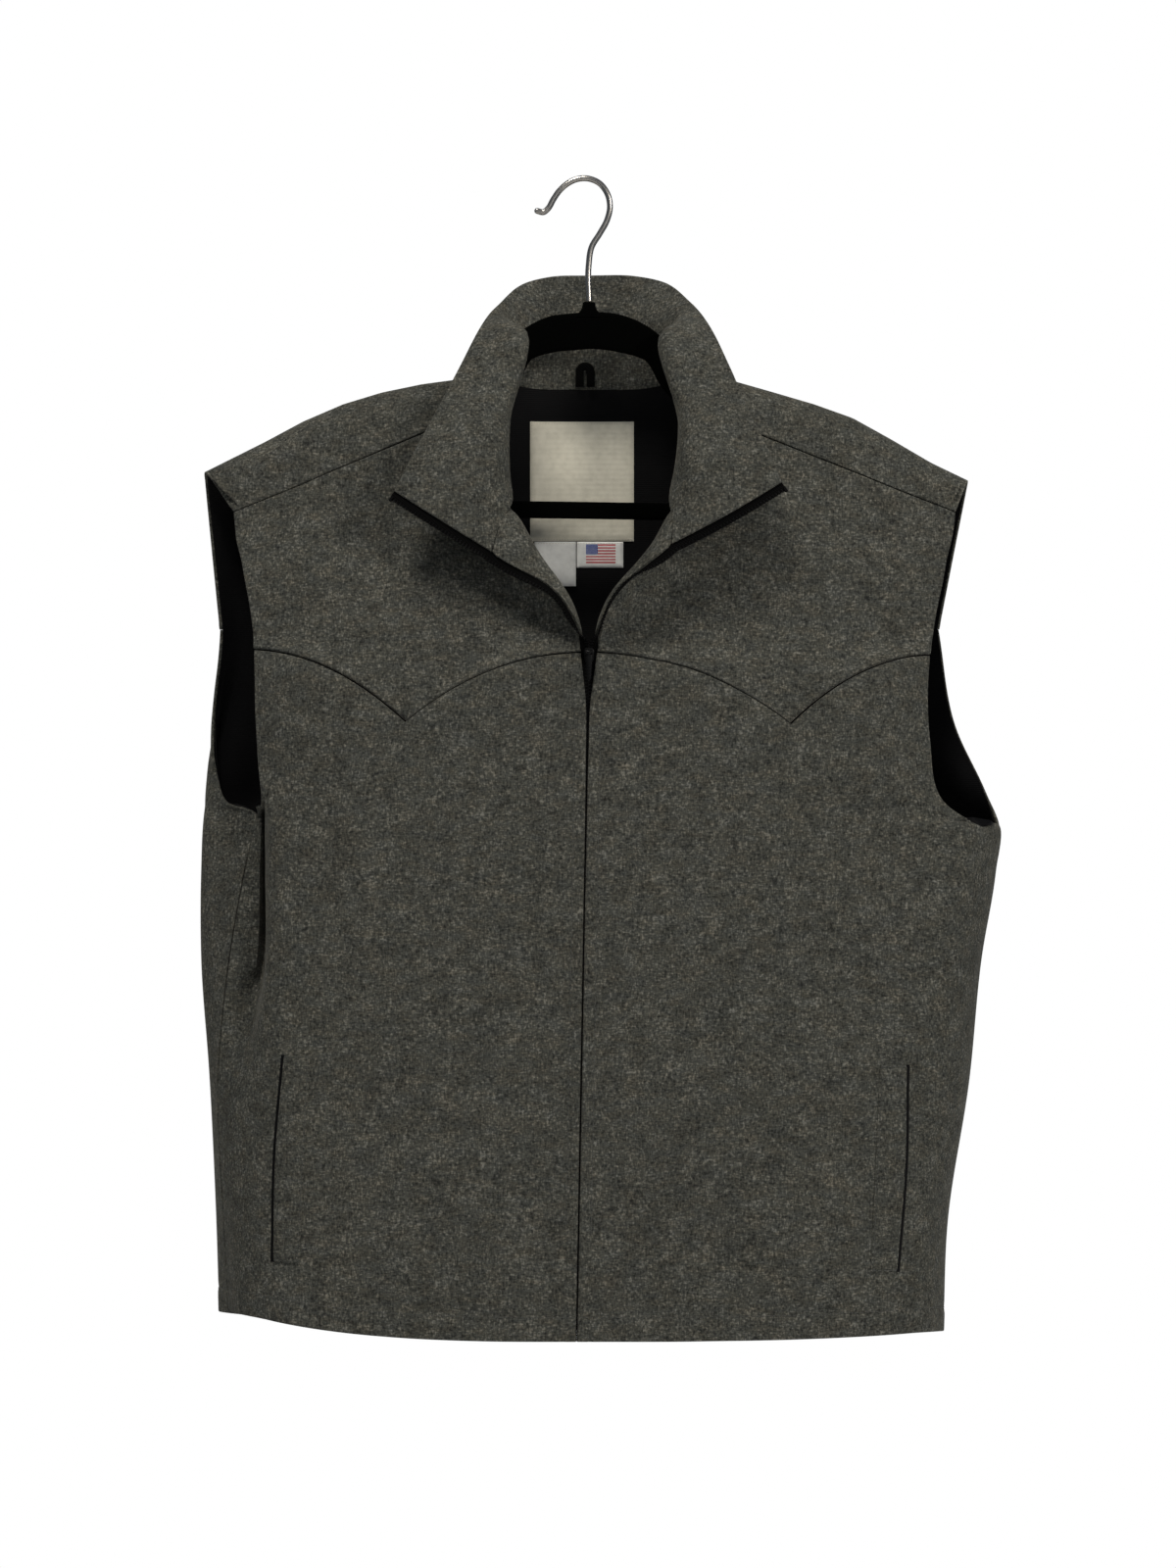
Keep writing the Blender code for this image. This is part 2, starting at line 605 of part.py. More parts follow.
def make_fronts(fronts, normals):
    neck_rows = sum(LAPEL_STEPS[NECK_POINT + 1 :]) + 1
    for side, name in SIDE_NAME.items():
        grid, out = fronts[side], normals[side]
        lower = eased(grid[: SEAM_ROW + 1], top=YOKE_EASE, end=SEAM)
        cloth(f"front_lower_{name}", lower, out[: SEAM_ROW + 1], 0, WOOL, "wool")
        yoke = eased(grid[SEAM_ROW:], bottom=YOKE_EASE, top=SEAM, end=SEAM)
        yoke[-neck_rows:] = eased(yoke[-neck_rows:], start=NECK_EASE)
        cloth(f"front_yoke_{name}", yoke, out[SEAM_ROW:], 0, WOOL, "wool")
        lapel = np.s_[LAPEL_STEPS[0] + 1 : sum(LAPEL_STEPS[:4]) + 1, : UNDER_COLUMN + 1]
        turned = eased(yoke[lapel], start=GAP)
        cloth(f"facing_{name}", turned, out[SEAM_ROW:][lapel], WOOL + GAP, FACING, "wool")
        kept = [*range(UNDER_COLUMN + 1, CREST_COLUMN), *range(CREST_COLUMN + 1, grid.shape[1])]
        inside = eased(grid[:, kept], top=SEAM, end=LINING_EASE)
        cloth(f"lining_front_{name}", inside, out[:, kept], WOOL + LINING_GAP, LINING, "lining")


def make_back(grid, out):
    seam = ARMPIT_ROW + sum(BACK_ARM_STEPS)
    lower = eased(grid[: seam + 1], top=SEAM, start=SEAM, end=SEAM)
    cloth("back_lower", lower, out[: seam + 1], 0, WOOL, "wool")
    cloth("back_yoke", eased(grid[seam:], bottom=SEAM, top=SEAM), out[seam:], 0, WOOL, "wool")
    turns = [BULGE_COLUMN, len(BACK_KEPT)]
    turns += [grid.shape[1] - 1 - turn for turn in turns]
    lining = eased(grid, top=NECK_EASE, start=LINING_EASE, end=LINING_EASE)
    lining, inwards = np.delete(lining, turns, axis=1), np.delete(out, turns, axis=1)
    return cloth("lining_back", lining, inwards, WOOL + LINING_GAP, LINING, "lining")


def collar_half(side, front):
    """Collar points of one side: columns from the middle of the back to the tip, rows from seam to top."""
    neck_rows = sum(LAPEL_STEPS[NECK_POINT + 1 :])
    front_neck = front[-neck_rows - 1 :, 0] * (side, 1, 1)
    neck = np.concatenate([neck_curve(side)[:-1], front_neck[::-1]])
    steps = NECK_STEPS + LAPEL_STEPS[:NECK_POINT:-1]
    rows = COLLAR[side]
    mid = through([(r.mid_x, r.mid_y, r.mid_z) for r in rows], steps)
    top = through([(r.top_x, r.top_y, r.top_z) for r in rows], steps)
    columns = [through([n, m, t], COLLAR_STEPS) for n, m, t in zip(neck, mid, top)]
    return np.stack(columns, axis=1) * (side, 1, 1)


def make_collar(grid, out):
    grid = eased(grid, bottom=NECK_EASE)
    cloth("collar_outer", grid, out, 0, WOOL, "wool")
    cloth("collar_inner", grid, out, WOOL + GAP, WOOL, "wool")


def make_zip_tape(side, front, front_out, collar, collar_out):
    """The strip of tape and teeth that shows beyond one front edge, from the hem to the collar's tip."""
    below = front.shape[0] - sum(LAPEL_STEPS[NECK_POINT + 1 :])
    edge = np.concatenate([front[:below, 0], collar[1:, -1]])
    beyond = np.concatenate([front[:below, 0] - front[:below, 1], collar[1:, -1] - collar[1:, -2]])
    deep = np.concatenate([front_out[:below, 0], collar_out[1:, -1]])
    beyond = unit(beyond)
    reach = np.abs(edge[:, 0] - lean(edge[:, 2])) - (TAPE_DEPTH + TAPE) * np.abs(deep[:, 0]) - SEAM
    width = np.minimum(reach, TAPE_OPEN)[:, None]
    sunk = edge - deep * TAPE_DEPTH
    strip = np.stack([sunk + beyond * width * TAPE_START, sunk + beyond * width], axis=1)
    wall(f"zip_tape_{SIDE_NAME[side]}", strip, strip - deep[:, None] * TAPE, "zip")


def ring_points(radius, count, centre):
    turn = np.linspace(0, 2 * np.pi, count, endpoint=False)
    return [(centre[0] + radius * np.cos(a), centre[1] + radius * np.sin(a)) for a in turn]


def make_slider(front_y):
    """Slider body on the closed end of the zip, its bridge with a cross pin, and the pull tab on the pin."""
    face = front_y - 0.5
    half_w, half_h = SLIDER_W / 2, SLIDER_H / 2
    outline = [(-half_w, half_h * 0.7), (-half_w * 0.7, half_h), (half_w * 0.7, half_h),
               (half_w, half_h * 0.7), (half_w * 0.72, -half_h), (-half_w * 0.72, -half_h)]
    body = extruded("zip_slider", [(x, z + SLIDER_Z) for x, z in outline], face - SLIDER_T, face, "zip")
    axis_y, axis_z = face - SLIDER_T - PULL_EYE - EYE_WALL - GAP, SLIDER_Z + half_h * 0.35
    inner_x = PULL_W / 2 - EYE_WALL + GAP
    ears = [
        extruded(
            f"ear_{name}",
            [(side * inner_x, axis_z - 1.5), (side * (inner_x + EAR), axis_z - 1.5),
             (side * (inner_x + EAR), axis_z + 1.5), (side * inner_x, axis_z + 1.5)],
            axis_y - 1.3, face - SLIDER_T + 0.6, "zip",
        )
        for side, name in SIDE_NAME.items()
    ]
    bpy.ops.mesh.primitive_cylinder_add(vertices=12, radius=PIN_R * MM, depth=2 * (inner_x + EAR / 2) * MM)
    pin = bpy.context.object
    pin.rotation_euler = (0, np.pi / 2, 0)
    pin.location = (0, axis_y * MM, axis_z * MM)
    finish(pin, "zip")
    for helper in (*ears, pin):
        helper.hide_render = True
        helper.display_type = "WIRE"
        join = body.modifiers.new("join", "BOOLEAN")
        join.operation = "UNION"
        join.object = helper
    make_pull(axis_y, axis_z)


def make_pull(axis_y, axis_z):
    """Flat tab with a rolled eye round the slider's pin."""
    eye = ring_points(PULL_EYE, 16, (0.0, 0.0))
    shell = ring_points(PULL_EYE + EYE_WALL, 16, (0.0, 0.0))
    eye_half, tip_half = PULL_W / 2 - EYE_WALL, PULL_TIP_W / 2
    pull = extruded("zip_pull", shell, -eye_half, eye_half, "zip", hole=eye)
    tail = [(-eye_half, -1.25), (eye_half, -1.25), (PULL_W / 2, -4.0), (tip_half, -PULL_LENGTH + 1.5),
            (tip_half - 0.8, -PULL_LENGTH), (-tip_half + 0.8, -PULL_LENGTH), (-tip_half, -PULL_LENGTH + 1.5),
            (-PULL_W / 2, -4.0)]
    plate = extruded("pull_plate", tail, -PULL_T / 2, PULL_T / 2, "zip")
    pull.rotation_euler = (0, 0, np.pi / 2)
    for piece in (pull, plate):
        piece.location = (0, axis_y * MM, axis_z * MM)
    plate.hide_render = True
    plate.display_type = "WIRE"
    join = pull.modifiers.new("join", "BOOLEAN")
    join.operation = "UNION"
    join.object = plate


def make_welt(side, front):
    """Stitched welt beside the pocket's slit, made from the panel's points and moved out."""
    tree = surface_tree(front)
    (top_x, top_z), (low_x, low_z) = WELT[side]
    shares = np.linspace(0, 1, WELT_ROWS)
    places = [
        (side * (mix(low_x, top_x, s) - inset), mix(low_z, top_z, s))
        for s in shares
        for inset in (0.0, WELT_W / 2, WELT_W)
    ]
    points, normals = lying_on(tree, places, -1)
    points, normals = points.reshape(WELT_ROWS, 3, 3), normals.reshape(WELT_ROWS, 3, 3)
    inner = points + normals * GAP * 3
    wall(f"pocket_welt_{SIDE_NAME[side]}", inner + normals * WELT_T, inner, "wool")


def make_labels(lining):
    """Plain woven labels on the inner face of the back lining."""
    inner = np.array([v.co for v in lining.data.vertices], float) / MM
    faces = [tuple(p.vertices) for p in lining.data.polygons]
    tree = BVHTree.FromPolygons([Vector(p) for p in inner], faces)
    for name, (low_x, high_x, low_z, high_z) in LABELS.items():
        columns, rows = np.linspace(low_x, high_x, 4), np.linspace(low_z, high_z, 3)
        points, normals = lying_on(tree, [(x, z) for z in rows for x in columns], -1)
        points, normals = points.reshape(3, 4, 3), normals.reshape(3, 4, 3)
        lift = GAP * 2
        colour = "label_cream" if name == "label_main" else "label_white"
        wall(name, points + normals * (lift + LABEL), points + normals * lift, colour)


def make_hang_loop(collar):
    """Narrow loop of tape that stands on the neck seam in front of the collar."""
    middle = collar.shape[1] // 2
    base = collar[0, middle]
    half, band = LOOP_W / 2, LOOP_BAND
    turn = np.linspace(0, np.pi, 9)
    rise = LOOP_H - half

    def arch(radius):
        return [(radius * np.cos(a), rise + radius * np.sin(a)) for a in turn]

    outline = [(half, 0.0), *arch(half), (-half, 0.0)]
    outline += [(-half + band, 0.0), *arch(half - band)[::-1], (half - band, 0.0)]
    y_back = base[1] - 2 * WOOL - GAP - LOOP_LEAN
    outline = [(x + LOOP_X, z + base[2] + 0.6) for x, z in outline]
    extruded("hang_loop", outline, y_back - LOOP_T, y_back, "lining")


# Hanger

def hanger_loops():
    """Outer and inner outlines of the hanger's frame, matched point for point."""
    half = [HANGER[0], *HANGER[1:-1], HANGER[-1]]
    loop = half + [HangerPoint(-p.x, p.z, p.half) for p in half[-2:0:-1]]
    centre = np.array([(p.x, p.z - HANGER_TILT * p.x) for p in loop], float)
    halves = np.array([p.half for p in loop], float)[:, None]
    along = unit(np.roll(centre, -1, axis=0) - np.roll(centre, 1, axis=0))
    outwards = np.stack([-along[:, 1], along[:, 0]], axis=1)
    return centre + outwards * halves, centre - outwards * halves


def make_hanger():
    outer, inner = hanger_loops()
    frame = extruded("hanger_body", outer, -HANGER_T / 2, HANGER_T / 2, "velvet", hole=inner)
    low = HANGER[0].z + HANGER[0].half - 3
    boss = extruded(
        "hanger_boss",
        [(-BOSS_W / 2, low), (BOSS_W / 2, low), (BOSS_TOP_W / 2, BOSS_Z), (-BOSS_TOP_W / 2, BOSS_Z)],
        -HANGER_T / 2 - 0.4, HANGER_T / 2 + 0.4, "velvet",
    )
    boss.hide_render = True
    boss.display_type = "WIRE"
    join = frame.modifiers.new("boss", "BOOLEAN")
    join.operation = "UNION"
    join.object = boss


def make_hook():
    """Round wire bent to an open hook, standing in the hanger's boss."""
    route = through([(x, 0, z) for x, z in HOOK], [2] * (len(HOOK) - 1))
    curve = bpy.data.curves.new("hanger_hook", "CURVE")
    curve.dimensions = "3D"
    curve.bevel_depth = HOOK_R * MM
    curve.bevel_resolution = 2
    curve.use_fill_caps = True
    spline = curve.splines.new("POLY")
    spline.points.add(len(route) - 1)
    for point, place in zip(spline.points, route):
        point.co = (*(place * MM), 1)
    hook = bpy.data.objects.new("hanger_hook", curve)
    bpy.context.scene.collection.objects.link(hook)
    curve.materials.append(material("chrome"))
    hook.parent = bpy.data.objects["garment"]


def clear_scene():
    for obj in list(bpy.data.objects):
        bpy.data.objects.remove(obj)


def shared(first, second):
    """One common normal on both sides of a seam, set on the second and handed back for the first."""
    second[...] = unit(first + second)
    return second


def main():
    clear_scene()
    garment = bpy.data.objects.new("garment", None)
    garment.location = (STEM_X * MM, 0, 0)
    bpy.context.scene.collection.objects.link(garment)

    seen = {side: front_grid(side) for side in SIDE_NAME}
    fronts = {side: drawn_in(seen[side]) for side in SIDE_NAME}
    front_out = {side: normals_of(fronts[side], side) for side in SIDE_NAME}
    back = drawn_in(whole(back_half(RIGHT, seen[RIGHT]), back_half(LEFT, seen[LEFT])))
    back_out = normals_of(back, -1)
    halves = {side: drawn_in(collar_half(side, seen[side])) for side in SIDE_NAME}
    collar = np.concatenate([halves[RIGHT][:, ::-1], halves[LEFT][:, 1:]], axis=1)
    collar_out = normals_of(collar, -1)
    for side, column in ((RIGHT, 0), (LEFT, -1)):
        seam = np.s_[: ARMPIT_ROW + 1]
        front_out[side][seam, -1] = shared(front_out[side][seam, -1], back_out[seam, column])
        count = len(BACK_KEPT)
        shoulder = back_out[-1, :count] if side == RIGHT else back_out[-1, ::-1][:count]
        front_out[side][-1, BACK_KEPT] = shared(front_out[side][-1, BACK_KEPT], shoulder[::-1])
        neck_rows = sum(LAPEL_STEPS[NECK_POINT + 1 :]) + 1
        lapel = collar_out[0, :neck_rows] if side == RIGHT else collar_out[0, ::-1][:neck_rows]
        front_out[side][-neck_rows:, 0] = shared(front_out[side][-neck_rows:, 0], lapel)

    make_fronts(fronts, front_out)
    lining = make_back(back, back_out)
    make_collar(collar, collar_out)
    for side in SIDE_NAME:
        own = collar_out if side == LEFT else collar_out[:, ::-1]
        make_zip_tape(side, fronts[side], front_out[side], halves[side], own[:, -halves[side].shape[1] :])
        make_welt(side, fronts[side])
    make_slider(fronts[LEFT][SEAM_ROW, 0, 1])
    make_labels(lining)
    make_hang_loop(collar)
    make_hanger()
    make_hook()


main()
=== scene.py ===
# Wool vest on a flocked hanger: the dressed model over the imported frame.
# Lengths are in millimetres in the vest's own frame until a mesh is made: x to the viewer's right, y away, z up.
import math
from collections import namedtuple

import bmesh
import bpy
import numpy as np
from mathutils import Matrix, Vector, noise
from mathutils.bvhtree import BVHTree


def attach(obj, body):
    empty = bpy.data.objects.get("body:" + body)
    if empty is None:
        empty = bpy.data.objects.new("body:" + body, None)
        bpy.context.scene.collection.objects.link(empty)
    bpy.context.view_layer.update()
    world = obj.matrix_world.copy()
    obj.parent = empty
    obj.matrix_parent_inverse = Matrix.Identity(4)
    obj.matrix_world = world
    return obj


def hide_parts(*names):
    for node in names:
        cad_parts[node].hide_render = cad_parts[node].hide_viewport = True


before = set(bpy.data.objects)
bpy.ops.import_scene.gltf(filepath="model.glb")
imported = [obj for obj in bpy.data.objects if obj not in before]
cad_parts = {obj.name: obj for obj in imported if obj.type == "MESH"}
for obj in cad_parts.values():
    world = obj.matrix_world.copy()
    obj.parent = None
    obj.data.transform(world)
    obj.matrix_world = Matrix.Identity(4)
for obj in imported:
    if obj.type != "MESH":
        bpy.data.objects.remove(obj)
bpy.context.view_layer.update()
print("frame loaded:", len(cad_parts), "nodes")

mm = 0.001
stemX = 5.0  # the stem stands beside the point where the hook hangs
sides = {"left": 1, "right": -1}  # the wearer's, so the left lies at +x


# Small helpers on points

def unit(v):
    return v / np.linalg.norm(v, axis=-1, keepdims=True).clip(1e-9)


def mix(a, b, share):
    return np.asarray(a, float) * (1 - share) + np.asarray(b, float) * share


def through(points, steps, corners=None):  # a smooth curve through the points, with that many strips per interval
    points = np.asarray(points, float)
    spans = np.diff(points, axis=0)
    gaps = np.linalg.norm(spans, axis=1).clip(1e-6)[:, None]
    slopes = spans / gaps
    last = len(spans)

    def slopeAt(i, own):
        if i in (0, last):
            return slopes[own]
        smooth = (gaps[i] * slopes[i - 1] + gaps[i - 1] * slopes[i]) / (gaps[i - 1] + gaps[i])
        return mix(smooth, slopes[own], (corners or {}).get(i, 0))

    found = [points[:1]]
    for i, count in enumerate(steps):
        start, end = slopeAt(i, i) * gaps[i], slopeAt(i + 1, i) * gaps[i]
        t = (np.arange(1, count + 1) / count)[:, None]
        found.append(
            (2 * t**3 - 3 * t**2 + 1) * points[i] + (t**3 - 2 * t**2 + t) * start
            + (3 * t**2 - 2 * t**3) * points[i + 1] + (t**3 - t**2) * end
        )
    return np.concatenate(found)


def runningLength(points):  # along the first axis of a line or a grid
    steps = np.linalg.norm(np.diff(points, axis=0), axis=-1)
    return np.concatenate([np.zeros((1, *steps.shape[1:])), np.cumsum(steps, axis=0)])


def atFractions(points, fractions, waypoint=None, later=()):  # by share of length, to and from a waypoint
    dense = through(points, [32] * (len(points) - 1))
    along = runningLength(dense)
    middle = along[-1] if waypoint is None else along[32 * waypoint]
    places = [middle * s for s in fractions] + [middle + (along[-1] - middle) * s for s in later]
    return np.stack([np.interp(places, along, dense[:, k]) for k in range(3)], axis=1)


def loft(net, columnSteps, rowSteps, corners):
    wide = np.array([through(row, columnSteps) for row in net])
    columns = [
        through(wide[:, j], rowSteps, {row: np.clip((count - j) / fade, 0, 1) for row, (count, fade) in corners.items()})
        for j in range(wide.shape[1])
    ]
    return np.stack(columns, axis=1)


def normalsOf(grid, sign, passes=6):
    found = sign * unit(np.cross(np.gradient(grid, axis=1), np.gradient(grid, axis=0)))
    for _ in range(passes):
        wide = np.pad(found, ((1, 1), (1, 1), (0, 0)), mode="edge")
        found = unit(found + 0.25 * (wide[:-2, 1:-1] + wide[2:, 1:-1] + wide[1:-1, :-2] + wide[1:-1, 2:]))
    return found


def drawIn(grid, borders):  # borders drawn in along the surface, which leaves the gap at a seam
    grid = grid.copy()
    for border, step in borders.items():
        g = turned(grid, border)
        g[0] += unit(g[1] - g[0]) * step
    return grid


def turned(grid, border):  # a view of the grid with that border as its first row
    if border == "top":
        return grid[::-1]
    if border == "start":
        return np.swapaxes(grid, 0, 1)
    if border == "end":
        return np.swapaxes(grid[:, ::-1], 0, 1)
    return grid


# Cut of the vest: sections by height, x counted outwards from the middle

BodyRow = namedtuple("BodyRow", "zIn zOut frontY crestX crestY valleyX valleyY seamX seamY bulgeX bulgeY backY")
ArmRow = namedtuple("ArmRow", "zIn frontY edgeX edgeY edgeZ setback")
LapelRow = namedtuple("LapelRow", "edgeX edgeY edgeZ rollX rollY rollZ underY chestY armX armY armZ")
BackArmRow = namedtuple("BackArmRow", "zIn edgeX edgeY edgeZ bulgeX bulgeY backY")
CollarRow = namedtuple("CollarRow", "midX midY midZ topX topY topZ")

cut = {
    "viewDistance": 2400.0, "viewZ": -437.0,  # sections are given as seen from here
    "zipZ": (-505.0, -437.0, -414.0, -380.0, -341.0),
    "zipHalf": (0.6, 0.75, 0.95, 1.5, 6.0),  # half the gap that shows the zip, at those heights
    "leanX": -9.0, "leanTop": -341.0, "leanBottom": -841.0,
    "yokeDrop": 51.0, "yokePoint": {"left": 146.0, "right": 133.0}, "yokePowers": (2.2, 2.0),
    "yokeReach": 130.0, "yokeFade": 1.3,
    "closedColumns": (1.5, 3.2, 24.0), "outerChest": (4.0, 5.0), "hemCurve": 3.0, "armCurve": 1.5,
    "fullness": (1.01, 0.97),
    "armSetback": ((19.0, 8.0), (9.0, 4.0)), "shoulderSetback": ((19.0, 3.0), (9.0, 1.5)),
    "underStep": 14.0, "underDrop": 6.0, "lapelSwell": 0.05, "chestSwell": 1.5, "neckPoint": 2, "sliderGap": 0.5,
    "ridgeRadius": 9.0, "ridgeFall": 7.0, "ridgeRoom": 3.0, "crownShare": 0.955,
    "backPower": 200.0, "backRise": 9.0, "backCorner": 30.0, "backShares": (0.78, 0.84),
    "yokeFalls": (0.7, 0.45, 0.25, 0.12, 0.05),
    "neckBack": ((0, 38, -150.5), (40, 34, -149.5), (64, 22, -144.5), (76, 0, -141.5)),
}
tuck = {  # the narrow slot of the side fold: its width, the depths where it starts and is full, and its lip
    "slot": 4.6, "from": 1.0, "full": 6.0, "lipBack": 1.0, "lipRise": 0.2, "lipStrips": 4, "corner": 0.55,
}
strips = {  # how many strips lie between neighbouring sections
    "columns": [4, 4, 7, 14, 14, 14, 13, 8, 9],
    "body": [18, 22, 20, 15, 11],
    "arm": [7, 7, 8, 10],
    "lapel": [6, 7, 12, 7, 6, 8, 9],
    "neck": [10, 7, 6, 9],
    "backArm": [9, 9, 15],
    "collar": [13, 12],
    "yokeBack": np.linspace(0, 1, 40), "yokeOver": np.linspace(0, 1, 10)[1:],
}


def named(kind, table):
    return {side: [kind(*row) for row in rows] for side, rows in table.items()}


bodyRows = named(BodyRow, {
    "left": [
        (-841, -833, -56, 244, -36, 254, -17, 257, 0, 252, 13, 31),
        (-760, -756, -57, 246, -36, 257, -17, 260, 0, 255, 14, 33),
        (-660, -650, -57, 261, -35, 273, -16, 276, 0, 271, 15, 36),
        (-570, -562, -55, 269, -34, 281, -15, 285, 0, 280, 15, 38),
        (-505, -502, -53, 279, -31, 291, -14, 295, 0, 290, 15, 40),
        (-462, -467, -51, 281, -28, 294, -13, 298, -1, 292, 14, 41),
    ],
    "right": [
        (-841, -819, -56, 238, -40, 253, -26, 261, -10, 268, 6, 31),
        (-760, -752, -57, 242, -40, 257, -26, 265, -11, 270, 6, 33),
        (-660, -648, -56, 241, -39, 255, -26, 269, -13, 275, 4, 36),
        (-570, -562, -54, 233, -38, 236, -7, 261, -15, 281, 6, 38),
        (-505, -500, -52, 232, -37, 234, 6, 250, -15, 281, 7, 40),
        (-455, -459, -51, 233, -36, 233, 4, 241, -10, 279, 8, 41),
    ],
})
armRows = named(ArmRow, {
    "left": [
        (-438, -50, 281, -26, -465, 0.85),
        (-412, -49, 258, -33, -449, 1),
        (-380, -48, 248, -32, -404, 1),
        (-341, -47, 248, -27, -343, 1),
    ],
    "right": [
        (-437, -50, 238, -34, -449, 0.2),
        (-414, -49, 240, -33, -428, 0.7),
        (-380, -48, 242.5, -33, -388, 1),
        (-341, -47, 243.5, -28, -339, 1),
    ],
})
lapelRows = named(LapelRow, {
    "left": [
        (11, -49.5, -325, 10, -47.5, -326, -45.5, -45, 250, -26, -327),
        (19, -54, -307, 15, -50, -311, -42, -42, 252, -25, -314),
        (62, -59, -263, 52, -54, -262, -35, -35, 257, -22, -290),
        (64, -55, -243, 62.5, -51, -242, -30, -29, 260, -19, -273),
        (63, -47, -227, 67, -43, -229, -26, -24, 263, -16, -261),
        (71, -34, -198, 78, -31, -202, -21, -19, 265, -13, -250),
        (84, -19, -166, 93, -18, -170, -17, -15, 266, -11, -239),
    ],
    "right": [
        (11, -49.5, -325, 10, -47.5, -326, -45.5, -45, 244, -27, -326),
        (19, -54, -308, 14, -50, -312, -42, -42, 246, -25, -310),
        (72, -59, -268.5, 43, -54, -267, -35, -35, 250, -22, -288),
        (66, -55, -247, 56.5, -51, -245, -30, -29, 253, -19, -272),
        (60, -47, -229, 64, -43, -231, -26, -24, 256, -16, -260),
        (70, -34, -199, 77, -31, -203, -21, -19, 257, -13, -250),
        (84, -19, -166, 93, -18, -170, -17, -15, 258, -11, -239),
    ],
})
ridges = {
    "left": ((80, -141.5), (106, -145), (134, -153), (163, -161.5), (191, -171.5), (219, -187), (248, -204), (275, -217)),
    "right": ((80, -141.5), (121, -147), (150, -153), (178, -161.5), (207, -174), (235, -189), (263, -203), (279, -211)),
}
backArmRows = named(BackArmRow, {
    "left": [
        (-430, 288, 7, -442, 274, 14, 41),
        (-394, 266, 15, -394, 252, 22, 41),
        (-332, 254, 19, -325, 240, 26, 40),
    ],
    "right": [
        (-437, 262, -4, -451, 278, 9, 41),
        (-405, 271, 9, -428, 276, 15, 41),
        (-332, 268, 20, -325, 258, 26, 40),
    ],
})
collarRows = named(CollarRow, {
    "left": [
        (0, 36, -110, 0, 46, -69.5),
        (31, 32, -110, 33, 43, -70),
        (50, 21, -109, 58, 34, -76),
        (64, 3, -110, 74, 14, -89),
        (56.5, -19, -112, 86, -9, -106),
        (72, -38, -156, 102, -30, -136),
        (78, -54, -188, 115, -45, -166),
        (92, -62, -217, 128, -54, -192),
        (102, -64, -241, 139.5, -60, -219),
    ],
    "right": [
        (0, 36, -110, 0, 46, -69.5),
        (29, 32, -110, 28, 43, -70.5),
        (47, 21, -109, 50, 34, -76.5),
        (63, 3, -110, 66, 14, -90),
        (51, -19, -109, 77, -9, -107),
        (62, -38, -156, 95, -30, -139),
        (71, -54, -190, 112, -45, -171),
        (92, -62, -222, 127, -54, -198),
        (107, -64, -246.5, 141, -60, -225.5),
    ],
})
underColumn = sum(strips["columns"][:3])
armpitRow = sum(strips["body"])
seamRow = armpitRow + sum(strips["arm"])
neckRows = sum(strips["lapel"][cut["neckPoint"] + 1:])


def lean(z):
    return cut["leanX"] * np.clip((cut["leanTop"] - z) / (cut["leanTop"] - cut["leanBottom"]), 0, 1)


def drawnIn(grid):  # from where points are seen to where they lie
    scale = 1 + grid[..., 1] / cut["viewDistance"]
    z = cut["viewZ"] + (grid[..., 2] - cut["viewZ"]) * scale
    return np.stack([grid[..., 0] * scale, grid[..., 1], z], axis=-1)


def closedRow(side, zIn, frontY, outer, curve):  # zip columns, chest columns, then the outer ones
    start = sides[side] * lean(zIn) + np.interp(zIn, cut["zipZ"], cut["zipHalf"])
    crestX, crestY = outer[0]
    endX, zOut = outer[2][0], outer[2][2]
    pointX = cut["yokePoint"][side]
    near = [start] + [start + step for step in cut["closedColumns"]]
    chest = [(near[3] + pointX) / 2, pointX, (pointX + crestX) / 2 + cut["outerChest"][0]]
    yPoint = frontY * cut["fullness"][1]
    yOuter = (yPoint + crestY) / 2 - cut["outerChest"][1]
    xy = [(x, frontY) for x in near]
    xy += [(chest[0], frontY * cut["fullness"][0]), (chest[1], yPoint), (chest[2], yOuter)]
    xy += [outer[0], outer[1], outer[2][:2]]
    return [(x, y, mix(zIn, zOut, ((x - start) / (endX - start)) ** curve)) for x, y in xy]


def lapelRow(row):  # from the zip or neck edge round the roll and over the chest
    edge = np.array([row.edgeX, row.edgeY, row.edgeZ], float)
    roll = np.array([row.rollX, row.rollY, row.rollZ], float)
    arm = np.array([row.armX, row.armY, row.armZ], float)
    under = np.array([row.rollX + cut["underStep"], row.underY, row.rollZ - cut["underDrop"]])
    outer = [arm - (dx, dy, 0) for dx, dy in cut["shoulderSetback"]]
    chest = mix(under, outer[0], 0.5)
    chest[1] = row.chestY
    swell = cut["lapelSwell"] * max(0.0, row.edgeX - row.rollX)
    points = [edge, mix(edge, roll, 0.5) - (0, swell, 0), roll, under, mix(under, chest, 0.5), chest]
    points += [mix(chest, outer[0], 0.5) - (0, cut["chestSwell"], 0), *outer, arm]
    for point in points[4:9]:
        point[2] = mix(under[2], arm[2], (point[0] - under[0]) / (arm[0] - under[0]))
    return points


def yokeDrop(side, x):  # how far the western yoke hangs below its straight seam
    pointX, edgeX = cut["yokePoint"][side], armRows[side][-1].edgeX
    inner = np.clip(x / pointX, 0, 1) ** cut["yokePowers"][0]
    outer = np.clip((edgeX - x) / (edgeX - pointX), 0, 1) ** cut["yokePowers"][1]
    return cut["yokeDrop"] * np.where(x < pointX, inner, outer)


def sideSeam(side):
    return through([(r.seamX, r.seamY, r.zOut) for r in bodyRows[side]], strips["body"])


